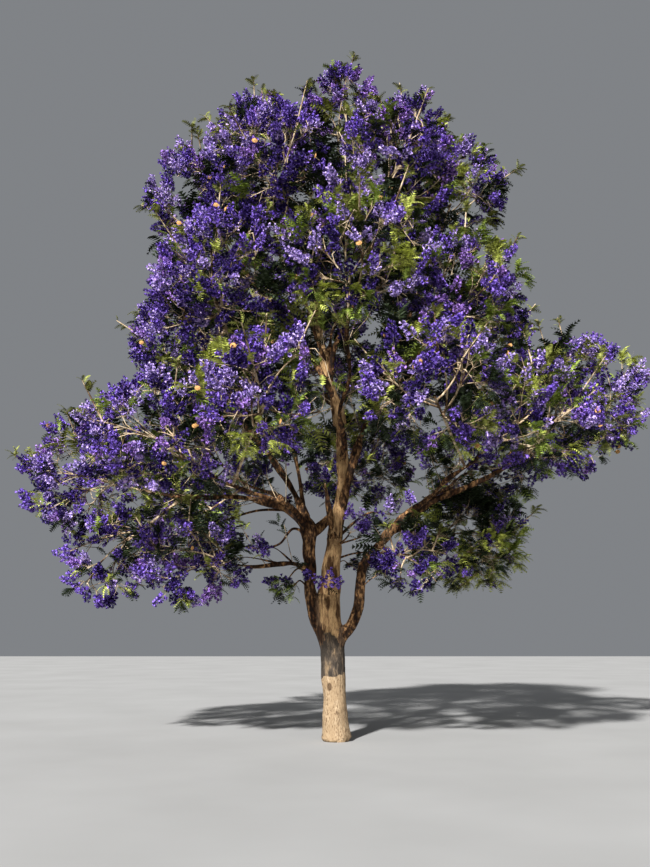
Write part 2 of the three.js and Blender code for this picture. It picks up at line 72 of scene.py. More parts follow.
TWIG_END = 0.58  # share of the room
TWIG_RADIUS = 0.017
TWIG_END_RADIUS = 0.011
STEM_SHARE = 0.75  # of the radius of what it grows from
ROOT_SUNK = 0.06  # how deep a root starts inside what carries it
CELL_MARGIN = 0.012  # between a mass and the plane it shares with its neighbour

# The limbs that show bare. path: points on the axis. radii: at the first and last point.
STEMS = {
    "trunk": dict(
        radii=(0.198, 0.19),
        path=[(0, 0, 0), (-0.012, 0, 0.5), (-0.03, 0, 1), (-0.055, 0, 1.5), (-0.085, 0, 1.9)]),
    "leader": dict(
        radii=(0.186, 0.026),
        path=[(-0.083, 0, 1.85), (-0.098, 0, 2.4), (-0.015, 0.01, 3.15), (0.125, 0.02, 4.25),
              (0.07, 0.05, 5.3), (-0.165, 0.09, 6.3), (-0.33, 0.14, 7.4), (-0.3, 0.18, 8.6),
              (0.04, 0.2, 9.8)],
        girth=(1, 0.93, 0.6, 0.53, 0.49, 0.44, 0.36, 0.26, 0.14)),
    "left_stem": dict(
        radii=(0.12, 0.096),
        path=[(-0.13, 0.025, 1.56), (-0.33, 0.04, 1.88), (-0.425, 0.03, 2.35), (-0.415, 0.01, 2.9),
              (-0.45, 0, 3.42)]),
    "right_limb_lower": dict(
        radii=(0.092, 0.084),
        path=[(0.03, -0.04, 1.53), (0.24, -0.06, 1.76), (0.385, -0.06, 2.06), (0.415, -0.06, 2.45)]),
    "right_limb_upper": dict(
        radii=(0.084, 0.046),
        path=[(0.414, -0.06, 2.4), (0.445, -0.06, 2.7), (0.72, -0.09, 3.08), (1.08, -0.13, 3.47),
              (1.64, -0.18, 3.8), (2.5, -0.14, 4.18), (3.25, -0.06, 4.6)]),
}

# The boughs that grow from them: the parent, where on it from 0 at its root to 1 at its tip, the mass
# that the bough carries, its radii at root and tip, and its rise.
BOUGHS = {
    "left_arch": ("left_stem", 0.97, "left_far", (0.074, 0.034), 0.26),
    "left_low_bough": ("left_stem", 0.62, "skirt_left", (0.046, 0.024), 0.12),
    "left_front_bough": ("left_stem", 0.93, "left_front", (0.058, 0.028), 0.26),
    "left_back_bough": ("left_stem", 0.9, "left_back", (0.058, 0.028), 0.26),
    "left_riser": ("left_stem", 0.97, "middle_left", (0.066, 0.03), 0.62),
    "left_back_riser": ("left_riser", 0.42, "middle_left_back", (0.042, 0.024), 0.38),
    "right_low_bough": ("right_limb_upper", 0.42, "skirt_right", (0.04, 0.024), 0.06),
    "right_spray_bough": ("right_limb_upper", 0.3, "skirt_right_front", (0.028, 0.018), 0.04),
    "right_front_bough": ("right_limb_upper", 0.5, "right_front", (0.048, 0.026), 0.16),
    "right_back_bough": ("right_limb_upper", 0.55, "right_back", (0.048, 0.026), 0.16),
    "back_bough": ("leader", 0.31, "back", (0.06, 0.028), 0.42),
    "front_bough": ("leader", 0.4, "middle_front", (0.054, 0.026), 0.42),
    "back_upper_bough": ("leader", 0.44, "middle_back", (0.052, 0.026), 0.42),
    "right_riser": ("leader", 0.26, "upper_right", (0.078, 0.03), 1.5),
    "right_side_bough": ("right_riser", 0.42, "middle_right", (0.044, 0.024), 0.26),
    "right_riser_front": ("right_riser", 0.36, "middle_right_front", (0.042, 0.024), 0.26),
    "right_riser_back": ("right_riser", 0.38, "middle_right_back", (0.042, 0.024), 0.26),
    "left_upper_bough": ("leader", 0.53, "upper_left", (0.05, 0.024), 0.48),
    "front_left_bough": ("leader", 0.6, "upper_front_left", (0.044, 0.022), 0.42),
    "front_right_bough": ("leader", 0.57, "upper_front_right", (0.044, 0.022), 0.42),
    "back_right_bough": ("leader", 0.62, "upper_back_right", (0.042, 0.022), 0.42),
    "back_left_bough": ("leader", 0.65, "upper_back_left", (0.042, 0.022), 0.42),
    "top_left_bough": ("leader", 0.76, "top_left", (0.036, 0.02), 0.42),
    "top_right_bough": ("leader", 0.79, "top_right", (0.036, 0.02), 0.42),
}

# The masses of foliage: what the stem grows from, where on it (None is its tip), the middle, the reach
# and the share of twigs that end in blossom.
MASSES = {
    "skirt_left_outer": ("left_arch", 0.8, (-3.6, -0.33, 2.95), (1, 1, 0.85), 0.8),
    "skirt_left": ("left_low_bough", None, (-2.35, -0.65, 2.8), (1.1, 1.15, 0.8), 0.7),
    "skirt_left_back": ("left_back_bough", 0.8, (-2.9, 1.85, 3.6), (1.2, 1.15, 0.85), 0.6),
    "skirt_right": ("right_low_bough", None, (2.35, 0.65, 3.25), (1.15, 1.2, 0.95), 0.25),
    "skirt_right_front": ("right_spray_bough", None, (1.2, -1.15, 2.75), (0.74, 0.74, 0.54), 0.8),
    "left_far": ("left_arch", None, (-4.15, -0.15, 4.2), (1.23, 1.5, 1.08), 0.95),
    "left_front": ("left_front_bough", None, (-2.6, -2.4, 4.3), (1.2, 1.3, 1.1), 0.8),
    "front_left": ("left_front_bough", 0.8, (-0.95, -3.25, 4.75), (1.2, 1.2, 1.05), 0.75),
    "front_right": ("right_front_bough", 0.82, (1.25, -3.25, 4.85), (1.2, 1.2, 1.05), 0.6),
    "right_front": ("right_front_bough", None, (2.85, -2.1, 4.8), (1.2, 1.3, 1.05), 0.5),
    "right_far": ("right_limb_upper", None, (4.25, 0.15, 5.6), (1.25, 1.5, 1.35), 0.6),
    "right_back": ("right_back_bough", None, (3.1, 2.6, 5.1), (1.3, 1.35, 1.2), 0.5),
    "back": ("back_bough", None, (0.5, 3.7, 5.25), (1.5, 1.3, 1.15), 0.6),
    "left_back": ("left_back_bough", None, (-2.5, 2.9, 5.2), (1.45, 1.35, 1.2), 0.7),
    "middle_left": ("left_riser", None, (-2.55, 0, 6.65), (1.15, 1.4, 1.45), 0.9),
    "middle_left_front": ("left_riser", 0.8, (-1.75, -2.4, 6.65), (1.2, 1.25, 1.35), 0.8),
    "middle_front": ("front_bough", None, (0.2, -2.9, 6.95), (1.25, 1.2, 1.3), 0.65),
    "middle_right_front": ("right_riser_front", None, (1.95, -1.95, 6.75), (1, 1.2, 1.2), 0.55),
    "middle_right": ("right_side_bough", None, (2.65, 0.35, 6.95), (0.98, 1.35, 1.25), 0.55),
    "middle_right_back": ("right_riser_back", None, (2.05, 2.6, 7.25), (1.25, 1.3, 1.35), 0.6),
    "middle_back": ("back_upper_bough", None, (-0.35, 3.15, 7.4), (1.4, 1.2, 1.35), 0.7),
    "middle_left_back": ("left_back_riser", None, (-2.3, 2.15, 7.25), (1.25, 1.3, 1.35), 0.8),
    "upper_left": ("left_upper_bough", None, (-2.45, 0.05, 9.25), (1.05, 1.35, 1.35), 0.95),
    "upper_front_left": ("front_left_bough", None, (-1.05, -1.8, 9), (1.2, 1.15, 1.3), 0.9),
    "upper_front_right": ("front_right_bough", None, (0.95, -1.75, 8.95), (1.15, 1.15, 1.3), 0.75),
    "upper_right": ("right_riser", None, (2.25, 0.15, 9.65), (0.98, 1.3, 1.2), 0.6),
    "upper_back_right": ("back_right_bough", None, (1.05, 2.1, 9.3), (1.25, 1.2, 1.3), 0.8),
    "upper_back_left": ("back_left_bough", None, (-1.15, 2, 9.35), (1.25, 1.2, 1.3), 0.9),
    "top_left": ("top_left_bough", None, (-1.35, 0.05, 10.55), (1.05, 1.25, 1.05), 0.9),
    "top_middle": ("leader", None, (0.1, 0.15, 11.1), (0.85, 1.15, 1.13), 0.85),
    "top_right": ("top_right_bough", None, (1.35, 0.1, 10.6), (0.85, 1.15, 1.05), 0.8),
}

# Bark
VOXEL = 0.014  # of the mesh of trunk and forks
LIMB_STEP = 0.05  # between rings of a limb
FORK_STEP = 0.11  # between the points that the forks are blended from
FORK_SIDES, BOUGH_SIDES = 16, 12
SUNK_END = 0.2  # how far the trunk's part goes on below the level cut
LEADER_SUNK = 2  # points of the leader inside the trunk
LEADER_SHARE = 0.52  # of the leader that is part of the mesh of trunk and forks
LEADER_SPARE = 0.04  # of the leader, at that part's end, where no bough is blended in
LEADER_OVERLAP = 6  # points of that part that the leader's upper tube has too
COLLAR = 0.5  # how much thicker a bough is at its very root
COLLAR_FADE = 2.4  # root radii in which that fades to about a third
COLLAR_LENGTH = 5  # root radii of a bough that are blended into what it grows from
COLLAR_SHARES = (1.02, 0.8)  # of a bough's radius in the blend, at its root and at the blend's end
BLEND = 0.95  # reach of the blend at a fork, in root radii
PART_NEAR = 0.3  # beyond its largest radius, how far round a part the bark is worked out from it
FLARED = 1.5  # of the trunk's length, from its end below the cut
LUMP_DEPTH, LUMP_WAVES = 0.045, (4.4, 4.4, 3.4)  # waves per metre across and along the limb
LUMPY = ((0, 0.03, 0.11, 0.2), (0.08, 0.25, 1, 0.5))  # share of the lumps' depth at limb radii
FURROW_DEPTH, FURROW_WAVES = 0.0065, (26, 26, 5)
SCALE_DEPTH, SCALE_WAVES = 0.003, (44, 44, 20)
FURROWED = 0.19  # limb radius from which furrows and scales have their full depth
LEAST_FURROWED = 0.16  # share of that depth on the thinnest limbs
FORK_CALM = 0.75  # share of the relief that is lost in the middle of a fork
TUBE_RELIEF = 1.4  # times as deep on boughs as on trunk and forks
TUBE_RELIEF_MOST = 0.3  # of a bough's radius
TUBE_LUMPY = 0.07  # thinner boughs have the relief of this radius
BOUGHS_APART = 3  # metres of noise between one bough and the next
LUMP_SEED, FURROW_SEED, SCALE_SEED, RAGGED_SEED = 1, 2, 3, 5
SAME_PLACE = 1e-4  # points of a path that are closer than this are one
BARK_PASSES = 4  # in which the mesh's points are moved onto the bark
BARK_BATCH = 12000  # points at once
BARK_MOVE = 0.05  # in one pass, at most
RIM, RIM_REACH = 0.9, 1.2  # voxels up to which the foot is rounded, and which its rim may move out
SMOOTH, ROUGH, SEAM = 0, 1, 2  # kinds of bark: of trunk and leader, of the other limbs, and in the forks
SEAM_SHARE = 0.55  # of the blend at a fork, over which bark is seam
SEAM_RAGGED = 0.25  # how far noise shifts that share
SEAMED = 2  # parts of the mesh of trunk and forks with a seam: the left stem and the right limb
RAGGED_WAVES = (40, 40, 14)
RAGGED = 0.012  # how far noise shifts the border between two kinds

# Finer twigs, and what they carry. A pair is the least and the most, or the values at foot and end.
STEM_RINGS, MAIN_RINGS, FINE_RINGS = 9, 7, 4  # points along a mass's stem, a main twig and a fine one
STEM_SIDES, MAIN_SIDES, BUD_SIDES, FINE_SIDES = 7, 5, 4, 3
ARC_PULL = 0.45  # share of its length over which an arc keeps the direction of its foot
MAIN_ON = 0.22  # how far a main twig goes on past the solids' one, of its length
MAIN_ASIDE = 0.5  # how far it points aside at its foot
MAIN_TURNS = (0, 6.28)  # radians
MAIN_TIP = 0.7  # of the solids' end radius
FINE_TWIGS, FINE_REACH = 56, 1.2  # in a mass of that reach, in proportion to its surface
LEAFY = 0.4  # a mass with a smaller share of blossom is one of leaves
LEAFY_MORE = 1.5  # times as many fine twigs in a mass of leaves
FINE_LOWEST = -0.95
FINE_UNEVEN = 0.09  # how far their directions stray
FINE_ENTRY = 0.9  # a fine twig whose way to the entry has a cosine over this is left out
FINE_END = (0.46, 0.84)  # share of the room
FINE_FEET = (0.4, 0.98)  # of the twig that they grow from
FINE_PULL = 0.4  # how far their way out turns them at the foot
FINE_RADII = (0.0095, 0.006)
INNER = (-1.1, 0.2)  # a fine twig that faces out less than a draw from these is inside the crown
# Chance of blossom on a fine twig: in a mass of even shares, and what is added by the mass's share of
# blossom, by the twig's rise and by how far it faces out
BLOOM_EVEN, BLOOM_BY_MASS, BLOOM_BY_RISE, BLOOM_BY_FACING = 0.44, 1.35, 0.22, 0.1
# How deep in the shade a fine twig is, which deals its sprays darker tints as painted shade
SHADE_EVEN, SHADE_FALL, SHADE_MOST = 0.45, 0.4, 0.9  # it falls with rise and with facing out
SPRAYS = (5, 7)  # at the end of each fine twig
LOW_SPRAYS, LOW_HEIGHT = (4, 6), 4.6  # in masses with their middle below that height
SPRAY_FEET = (0.6, 1)  # of the fine twig
SPRAY_ONWARD, SPRAY_SPREAD, SPRAY_LIFT = 0.5, 0.95, 0.3  # of its heading: along the twig, aside and up
SPRAY_RISE = 0.25  # how much more upright it goes on
SPRAY_TWIG = (0.07, 0.2)
SPRAY_RADII = (0.0052, 0.0036)
STALK_WIDTH = 0.005  # of the flat stalk that a spray's flowers or leaves stand on
SPRAY_END = (0.84, 1.07)  # share of the room that a spray may fill
LEAST_SPRAY = 0.16
KNOT_CLEAR, TIP_CLEAR = 0.03, 0.08  # from limbs, at a spray's foot and at its tip
# Chance of leaves on a twig in blossom: the first, times the second less the share of twigs in blossom.
# Chance of a panicle on a leafy twig: the third, times that share.
MIXED_LEAVES, MIXED_FROM, MIXED_PANICLES = 0.22, 1.6, 0.5
OWN_TINT = 0.4  # share of panicles with a tint of their own, unlike their twig's
PANICLE_LENGTH = (0.24, 0.34)
PANICLE_SPREAD = 0.34  # radius, of its length
PANICLE_TOP, PANICLE_CURVE = 1.02, 0.55  # where its outline closes, and how roundly
PANICLE_FILLED = 0.93  # of its axis
FLOWERS = 17  # in a panicle
FLOWER_SIZE, FLOWER_SHARES = (0.058, 0.077), (1.04, 0.72)  # and what of it a flower has at foot and tip
FLOWER_OUT, FLOWER_TURN, FLOWER_TILT = (0.8, 1.1), 0.35, 0.16  # how unevenly it stands out, round and tilted
FLOWER_RISE = (0.15, 0.85)  # how far it points along the panicle
FLOWER_SUNK = 0.75  # of its size, inside the panicle's outline
LEAST_STALK, STALK_RISE = 0.012, 0.35  # of its stalk: length, and how far it points along the panicle
LEAF_LENGTH = (0.145, 0.215)
SHADE_LEAF_LENGTH = (0.25, 0.36)  # of leaves inside the crown
SHADE_SPRAYS = 3  # at the end of each fine twig there
LEAF_PAIRS = 6  # of pinnae
LEAF_LOWEST = -0.3  # how steeply a leaf starts downwards, as the sine of its angle
LEAF_ROLL, LEAF_LEAN = 0.28, 0.15  # how unevenly its upper side turns, and how far that leans onwards
ROSETTE, SHADE_ROSETTE = 6, 5  # leaves at the end of a twig without blossom, outside and inside the crown
ROSETTE_FEET, ROSETTE_SPREAD = (0, 0.6), 0.9  # of the spray's length, and how far its leaves point aside
FINE_LEAVES = 2  # along a fine twig, below its sprays
FINE_LEAF_FEET, LEAF_ONWARD = (0.55, 1), 0.8  # of the twig, and how far leaves beside a twig point along it
SHOOT_GAP = 0.18  # between the short shoots along a bough
SHOOT_LENGTH = (0.25, 0.75)
SHOOT_START = 0.3  # of the bough
LEADER_SHOOT_START = 0.46
SHOOT_ONWARD, SHOOT_LIFT, SHOOT_CURL = 0.8, 0.3, 0.06  # how far it points along and up, and its tip's rise
SHOOT_CLEAR = 0.05  # from limbs
SHOOT_RADII = (0.008, 0.005)
# SHOOT_SHADE: how deep in the shade a shoot's sprays are, which deals them darker tints as painted shade
SHOOT_SPRAYS, SHOOT_SHADE = 2, 0.75
SHOOT_BLOOM = 0.6  # of its mass's share of blossom
LOW_SHADE = 0.7  # of the sprays of a low bough, which deals them darker tints as painted shade
BUD_SHOOTS = 4  # straight shoots of a mass that stand out of the blossom
BUD_FEET = (0.7, 1)  # of the main twig
BUD_LIFT, BUD_UNEVEN = 0.7, 0.22  # how far they point up, and how unevenly
BUD_RADII = (0.016, 0.009)
BUD_END = (1.06, 1.32)  # share of the room
BUD_ASIDE = 0.1  # how far it may stand out of the solids' box
BUD_LEAVES = 10
BUD_LEAVES_FROM = (0.7, 1)  # of the shoot
BUD_LEAF_LENGTH = (0.09, 0.2)
BUD_TINT = 2  # leaf_olive
CAPSULES = 150
CAPSULE_SIZE = (0.07, 0.095)
CAPSULE_DROP = 0.045  # from the tip of its spray to its middle
LOW_SEED, CAPSULE_SEED = SEED + 500, SEED + 77
# Gaps in the crown's front, through which limbs show: the axis that the limb follows, from where to where on
# it, how far to each side of the limb, and the gap's rise from the limb to the front
FRONT = -0.1  # how far forward, on Y, a gap starts
GAPS = {
    "leader": (2, 4.6, 6.7, 0.25, 0.3),
    "left_arch": (0, -4, -1, 0.14, 0.18),
}
CROWN_HEART, CROWN_REACH = np.array([0, 0, 6.2]), np.array([5, 4.5, 6])  # they tell which way faces out

# Thin boughs below the crown: what each grows from and where, its radii at root and tip, how many sprays it
# bears, the share of them in blossom, and the points that it goes through
SHORT, SLIM, LONG = (0.012, 0.008), (0.014, 0.008), (0.026, 0.011)
LOW_BOUGHS = {
    "left_stem_front": ("left_stem", 0.62, SHORT, 2, 1, (-0.48, -0.2, 2.6), (-0.5, -0.34, 2.58)),
    "trunk_front": ("leader", 0.08, SHORT, 3, 1, (-0.11, -0.34, 2.34), (-0.11, -0.42, 2.36)),
    "leader_front": ("leader", 0.235, SLIM, 4, 1, (0.16, -0.22, 3.16), (0.24, -0.32, 3.26)),
    "leader_front_right": ("leader", 0.24, SLIM, 3, 1, (0.28, -0.12, 3.16), (0.44, -0.2, 3.2)),
    "right_limb_front": ("right_limb_upper", 0.3, SLIM, 5, 1, (0.66, -0.34, 2.74), (0.78, -0.5, 2.56)),
    "right_limb_bunch": ("right_limb_upper", 0.22, SHORT, 4, 1, (0.78, -0.22, 2.96), (0.82, -0.36, 2.94)),
    "right_limb_left": ("right_limb_lower", 0.93, SHORT, 2, 1, (0.56, -0.25, 2.5), (0.66, -0.35, 2.56)),
    "crossing": ("leader", 0.2, LONG, 5, 0.3, (0.35, 0.14, 2.97), (0.78, 0.22, 2.98), (1.35, 0.25, 2.94)),
    "arching": ("leader", 0.25, (0.022, 0.01), 5, 0.4,
                (0.34, 0.16, 3.5), (0.62, 0.32, 3.68), (1.02, 0.5, 3.66)),
    "crossing_riser": ("left_stem", 0.93, (0.072, 0.055), 0, 0,
                       (-0.3, 0.1, 3.38), (-0.1, 0.2, 3.56), (0.09, 0.19, 3.78), (0.2, 0.08, 4.08),
                       (0.27, -0.02, 4.38)),
    "left_upright": ("left_stem", 0.97, (0.062, 0.034), 6, 0.9,
                     (-0.54, 0.1, 3.75), (-0.6, 0.14, 4.2), (-0.72, 0.1, 4.8)),
    "left_bunch": ("left_low_bough", 0.3, SLIM, 4, 1, (-1, -0.22, 3.02), (-1.12, -0.36, 2.98)),
    "left_bunch_far": ("left_low_bough", 0.5, SLIM, 4, 0.8, (-1.42, -0.3, 2.86), (-1.54, -0.42, 2.84)),
    "left_thin": ("left_stem", 0.98, LONG, 6, 0.6, (-0.75, 0.1, 3.64), (-1.25, 0.16, 3.7), (-2, 0.25, 3.5)),
    "left_lower": ("left_stem", 0.92, (0.034, 0.014), 6, 0.7,
                   (-0.7, -0.02, 3.36), (-0.93, -0.06, 3.1), (-1.25, -0.06, 3.03), (-1.65, 0, 3.07),
                   (-2.15, 0.1, 2.96)),
    "left_hanging": ("left_stem", 0.58, SLIM, 7, 0.35, (-0.62, 0.22, 2.72), (-0.86, 0.28, 2.46)),
    "left_hanging_front": ("left_stem", 0.5, SHORT, 6, 0.4, (-0.58, -0.1, 2.5), (-0.68, -0.2, 2.4)),
    "leader_back": ("leader", 0.17, SLIM, 8, 0.1, (0.14, 0.3, 2.86), (0.24, 0.42, 2.8)),
    "leader_left": ("leader", 0.25, (0.055, 0.03), 6, 0.9, (-0.1, -0.1, 3.6), (-0.17, -0.16, 4.1)),
}
THICK_ROOT = 0.02  # low boughs from this radius are blended into the stem

# Numbers by rule
FACTOR, MODULUS = 48271, 2147483647  # of the minimal standard generator
PLACE_FACTORS, SEED_FACTOR = (73856093, 19349663, 83492791), 2654435761  # that scatter places of noise
GOLDEN_ANGLE = math.pi * (3 - math.sqrt(5))
UPRIGHT = 0.9  # sine of the angle over which a direction counts as upright


def unit(v):
    return v / np.linalg.norm(v, axis=-1, keepdims=True)


def mix(a, b, t):
    return a + (b - a) * t


def seeded_random(seed):
    """Numbers from 0 to 1, by the minimal standard generator."""
    state = seed
    while True:
        state = state * FACTOR % MODULUS
        yield state / MODULUS


def noise(places, seed):
    """Smooth noise from -1 to 1 at places (n, 3), one wave per unit."""
    cell = np.floor(places).astype(np.int64)
    part = places - cell
    part = part * part * (3 - 2 * part)
    total = np.zeros(len(places))
    for corner in itertools.product((0, 1), repeat=3):
        x, y, z = ((cell + corner) * PLACE_FACTORS).T
        state = (x ^ y ^ z ^ seed * SEED_FACTOR) & MODULUS
        state = state * FACTOR % MODULUS
        state = state * FACTOR % MODULUS
        weight = np.prod(np.where(corner, part, 1 - part), axis=1)
        total += weight * (2 * state / MODULUS - 1)
    return total


# Limbs: an axis of points with a radius at each

def catmull_rom(path, t):
    """The centripetal Catmull-Rom curve through a path, at t from 0 to 1."""
    place = t * (len(path) - 1)
    i = min(int(place), len(path) - 2)
    w = place - i
    before = path[i - 1] if i > 0 else 2 * path[0] - path[1]
    after = path[i + 2] if i + 2 < len(path) else 2 * path[-1] - path[-2]
    x = [before, path[i], path[i + 1], after]
    d = [math.sqrt(np.linalg.norm(x[k + 1] - x[k])) for k in range(3)]
    leave = ((x[1] - x[0]) / d[0] - (x[2] - x[0]) / (d[0] + d[1]) + (x[2] - x[1]) / d[1]) * d[1]
    arrive = ((x[2] - x[1]) / d[1] - (x[3] - x[1]) / (d[1] + d[2]) + (x[3] - x[2]) / d[2]) * d[1]
    square = 3 * (x[2] - x[1]) - 2 * leave - arrive
    cube = 2 * (x[1] - x[2]) + leave + arrive
    return x[1] + w * (leave + w * (square + w * cube))


def bezier(a, b, c, d, t):
    t = np.asarray(t)[..., None]
    return a * (1 - t) ** 3 + 3 * b * t * (1 - t) ** 2 + 3 * c * t * t * (1 - t) + d * t ** 3


def limb(points, radii):
    return {"points": np.array(points, float), "radii": np.array(radii, float)}


def stem_limb(radii, path, girth=None):
    path = np.array(path, float)
    length = np.linalg.norm(np.diff(path, axis=0), axis=1).sum()
    places = np.linspace(0, 1, int(length / LIMB_STEP) + 1)
    if girth:
        thick = radii[0] * np.interp(places * (len(girth) - 1), range(len(girth)), girth)
    else:
        thick = mix(radii[0], radii[1], places)
    return limb([catmull_rom(path, t) for t in places], thick)


def place_on(carrier, t):
    """The point of a limb's axis at t, with its direction and radius there."""
    points, radii = carrier["points"], carrier["radii"]
    place = t * (len(points) - 1)
    i = min(int(place), len(points) - 2)
    return (mix(points[i], points[i + 1], place - i), unit(points[i + 1] - points[i]),
            mix(radii[i], radii[i + 1], place - i))


def entry_of(mass, start):
    """Where a mass is entered by what comes from a point."""
    centre, reach = np.array(MASSES[mass][2]), np.array(MASSES[mass][3])
    away = start - centre
    return centre + away * ENTRY / np.linalg.norm(away / reach)


def bough_limb(name, index, limbs):
    parent, at, mass, radii, rise = BOUGHS[name]
    start, onward, _ = place_on(limbs[parent], at)
    end = entry_of(mass, start)
    arrive = unit(np.array(MASSES[mass][2]) - end)
    straight = end - start
    length = np.linalg.norm(straight)
    leave = unit(onward + unit(straight))
    leave[2] += rise / length
    leave = unit(leave)
    t = np.linspace(0, 1, max(int(length / LIMB_STEP), FEWEST_STEPS))
    points = bezier(start, start + leave * BOUGH_PULL * length, end - arrive * BOUGH_PULL * length, end, t)
    across = unit(np.cross(straight, (0, 0, 1)))
    sway = np.sin(2 * math.pi * BOUGH_WAVES * t + index) * np.sin(math.pi * t) * BOUGH_CROOK * length
    return limb(points + sway[:, None] * across, mix(radii[0], radii[1], t ** BOUGH_TAPER))


def frames_along(points):
    """Axes across a path at each of its points, carried along it without twist."""
    tangents = unit(np.gradient(points, axis=0))
    across = np.array([1.0, 0, 0]) if abs(tangents[0][2]) > UPRIGHT else np.array([0, 0, 1.0])
    sides = []
    for tangent in tangents:
        across = unit(across - tangent * (across @ tangent))
        sides.append(across)
    sides = np.array(sides)
    return sides, np.cross(tangents, sides)


def low_limb(name, limbs):
    parent, at, radii, _, _, *through = LOW_BOUGHS[name]
    start, _, _ = place_on(limbs[parent], at)
    return stem_limb(radii, [start, *through])


def grow_limbs():
    limbs = {name: stem_limb(**facts) for name, facts in STEMS.items()}
    for index, name in enumerate(BOUGHS):
        limbs[name] = bough_limb(name, index, limbs)
    for name in LOW_BOUGHS:
        limbs[name] = low_limb(name, limbs)
    return limbs


# Bark: a blended mesh of trunk and forks, and a relieved tube for each bough

def relief(coordinates, girth):
    """How far bark stands out, from places in a limb's own coordinates and the limb's radius there."""
    lumps = noise(coordinates * LUMP_WAVES, LUMP_SEED) * LUMP_DEPTH
    furrows = (0.5 - np.abs(noise(coordinates * FURROW_WAVES, FURROW_SEED))) * FURROW_DEPTH
    scales = noise(coordinates * SCALE_WAVES, SCALE_SEED) * SCALE_DEPTH
    fine = (furrows + scales) * np.clip(girth / FURROWED, LEAST_FURROWED, 1)
    return lumps * np.interp(girth, *LUMPY) + fine


def collared(carrier):
    """A bough's radii with the collar at its root."""
    along = np.linalg.norm(carrier["points"] - carrier["points"][0], axis=1)
    root = carrier["radii"][0]
    return carrier["radii"] * (1 + COLLAR * np.exp(-along / (COLLAR_FADE * root)))


def thinned(points, radii, step):
    """A limb with its points about a step apart."""
    along = np.concatenate([[0], np.cumsum(np.linalg.norm(np.diff(points, axis=0), axis=1))])
    wanted = np.linspace(0, along[-1], max(int(along[-1] / step), 2) + 1)
    column = [np.interp(wanted, along, points[:, k]) for k in range(3)]
    return np.stack(column, axis=1), np.interp(wanted, along, radii)


def chained(*stretches):
    """The points and the radii of one path from stretches of limbs: (limb, first point, last point)."""
    return [np.concatenate([carrier[key][first:last] for carrier, first, last in stretches])
            for key in ("points", "radii")]


def fork_parts(limbs):
    """What the mesh of trunk and forks is blended from: (points, radii, blend) of each part."""
    trunk, leader, left, right, right_on = (limbs[name] for name in STEMS)
    below = limb(trunk["points"][:1] - (0, 0, SUNK_END), trunk["radii"][:1])
    last = int(LEADER_SHARE * len(leader["points"]))
    chains = [
        (*chained((below, 0, 1), (trunk, 0, -1), (leader, LEADER_SUNK, last)), 0),
        (*chained((left, 0, None)), left["radii"][0]),
        (*chained((right, 0, -1), (right_on, 1, None)), right["radii"][0]),
    ]
    parts = [(*thinned(points, radii, FORK_STEP), blend) for points, radii, blend in chains]
    thick = {name: facts for name, facts in LOW_BOUGHS.items() if limbs[name]["radii"][0] > THICK_ROOT}
    for name, (parent, at, *_) in (BOUGHS | thick).items():
        if parent in STEMS and not (parent == "leader" and at > LEADER_SHARE - LEADER_SPARE):
            bough = limbs[name]
            count = int(COLLAR_LENGTH * bough["radii"][0] / LIMB_STEP) + 2
            radii = collared(bough)[:count] * np.linspace(*COLLAR_SHARES, count)
            parts.append((*thinned(bough["points"][:count], radii, LIMB_STEP), bough["radii"][0]))
    return parts


def to_part(part, places):
    """The distance from places to a part's surface, the way out of it, the part's own coordinates, and its
    radius there."""
    points, radii, _ = part
    across, along = frames_along(points)
    start, way = points[:-1], np.diff(points, axis=0)
    reached = np.concatenate([[0], np.cumsum(np.linalg.norm(way, axis=1))])
    t = np.clip(np.einsum("nij,ij->ni", places[:, None] - start, way) / (way ** 2).sum(1), 0, 1)
    gap = places[:, None] - start - t[..., None] * way
    distance = np.linalg.norm(gap, axis=2) - mix(radii[:-1], radii[1:], t)
    k = distance.argmin(1)
    row = np.arange(len(places))
    t, gap, distance = t[row, k], gap[row, k], distance[row, k]
    side = mix(across[k], across[k + 1], t[:, None])
    other = mix(along[k], along[k + 1], t[:, None])
    own = np.stack([(gap * side).sum(1), (gap * other).sum(1), mix(reached[k], reached[k + 1], t)], axis=1)
    return distance, unit(gap + 1e-9), own, mix(radii[k], radii[k + 1], t)


def bark_field(parts, places):
    """How far places lie outside the bark, the way out, and the kind of bark there."""
    distance, out, own, girth = to_part(parts[0], places)
    flare = np.exp(-np.maximum(places[:, 2], 0) / FLARE_HEIGHT * math.log(3))
    angle = np.arctan2(places[:, 1], places[:, 0])
    ribs = FLARE_RIB_DEPTH * flare * np.cos(FLARE_RIBS * angle) * (girth + FLARE_RADIUS * flare)
    distance = distance - np.where(own[:, 2] < FLARED, FLARE_RADIUS * flare + ribs, 0)
    plain = np.ones(len(places))
    kind = np.full(len(places), SMOOTH)
    for number, part in enumerate(parts[1:], 1):
        points, radii, root = part
        near = radii.max() + PART_NEAR
        inside = ((places > points.min(0) - near) & (places < points.max(0) + near)).all(1)
        if not inside.any():
            continue
        theirs, way, theirs_own, theirs_girth = to_part(part, places[inside])
        reach = BLEND * root
        ours = distance[inside]
        share = np.clip(1 - np.abs(ours - theirs) / reach, 0, 1)
        nearer = theirs < ours
        weight = np.where(nearer, 1 - share / 2, share / 2)[:, None]
        distance[inside] = np.minimum(ours, theirs) - share ** 2 * reach / 4
        out[inside] = unit(mix(out[inside], way, weight))
        own[inside] = np.where(nearer[:, None], theirs_own + (number, 0, 0), own[inside])
        girth[inside] = np.where(nearer, theirs_girth, girth[inside])
        plain[inside] *= 1 - FORK_CALM * share
        ragged = noise(places[inside] * RAGGED_WAVES, RAGGED_SEED)
        theirs_kind = np.where(theirs + RAGGED * ragged < ours, ROUGH, kind[inside])
        seam = (share > SEAM_SHARE + SEAM_RAGGED * ragged) & (number <= SEAMED)
        kind[inside] = np.where(seam, SEAM, theirs_kind)
    distance -= relief(own, girth) * plain
    below = -places[:, 2] > distance
    out[below] = (0, 0, -1)
    return np.where(below, -places[:, 2], distance), out, kind


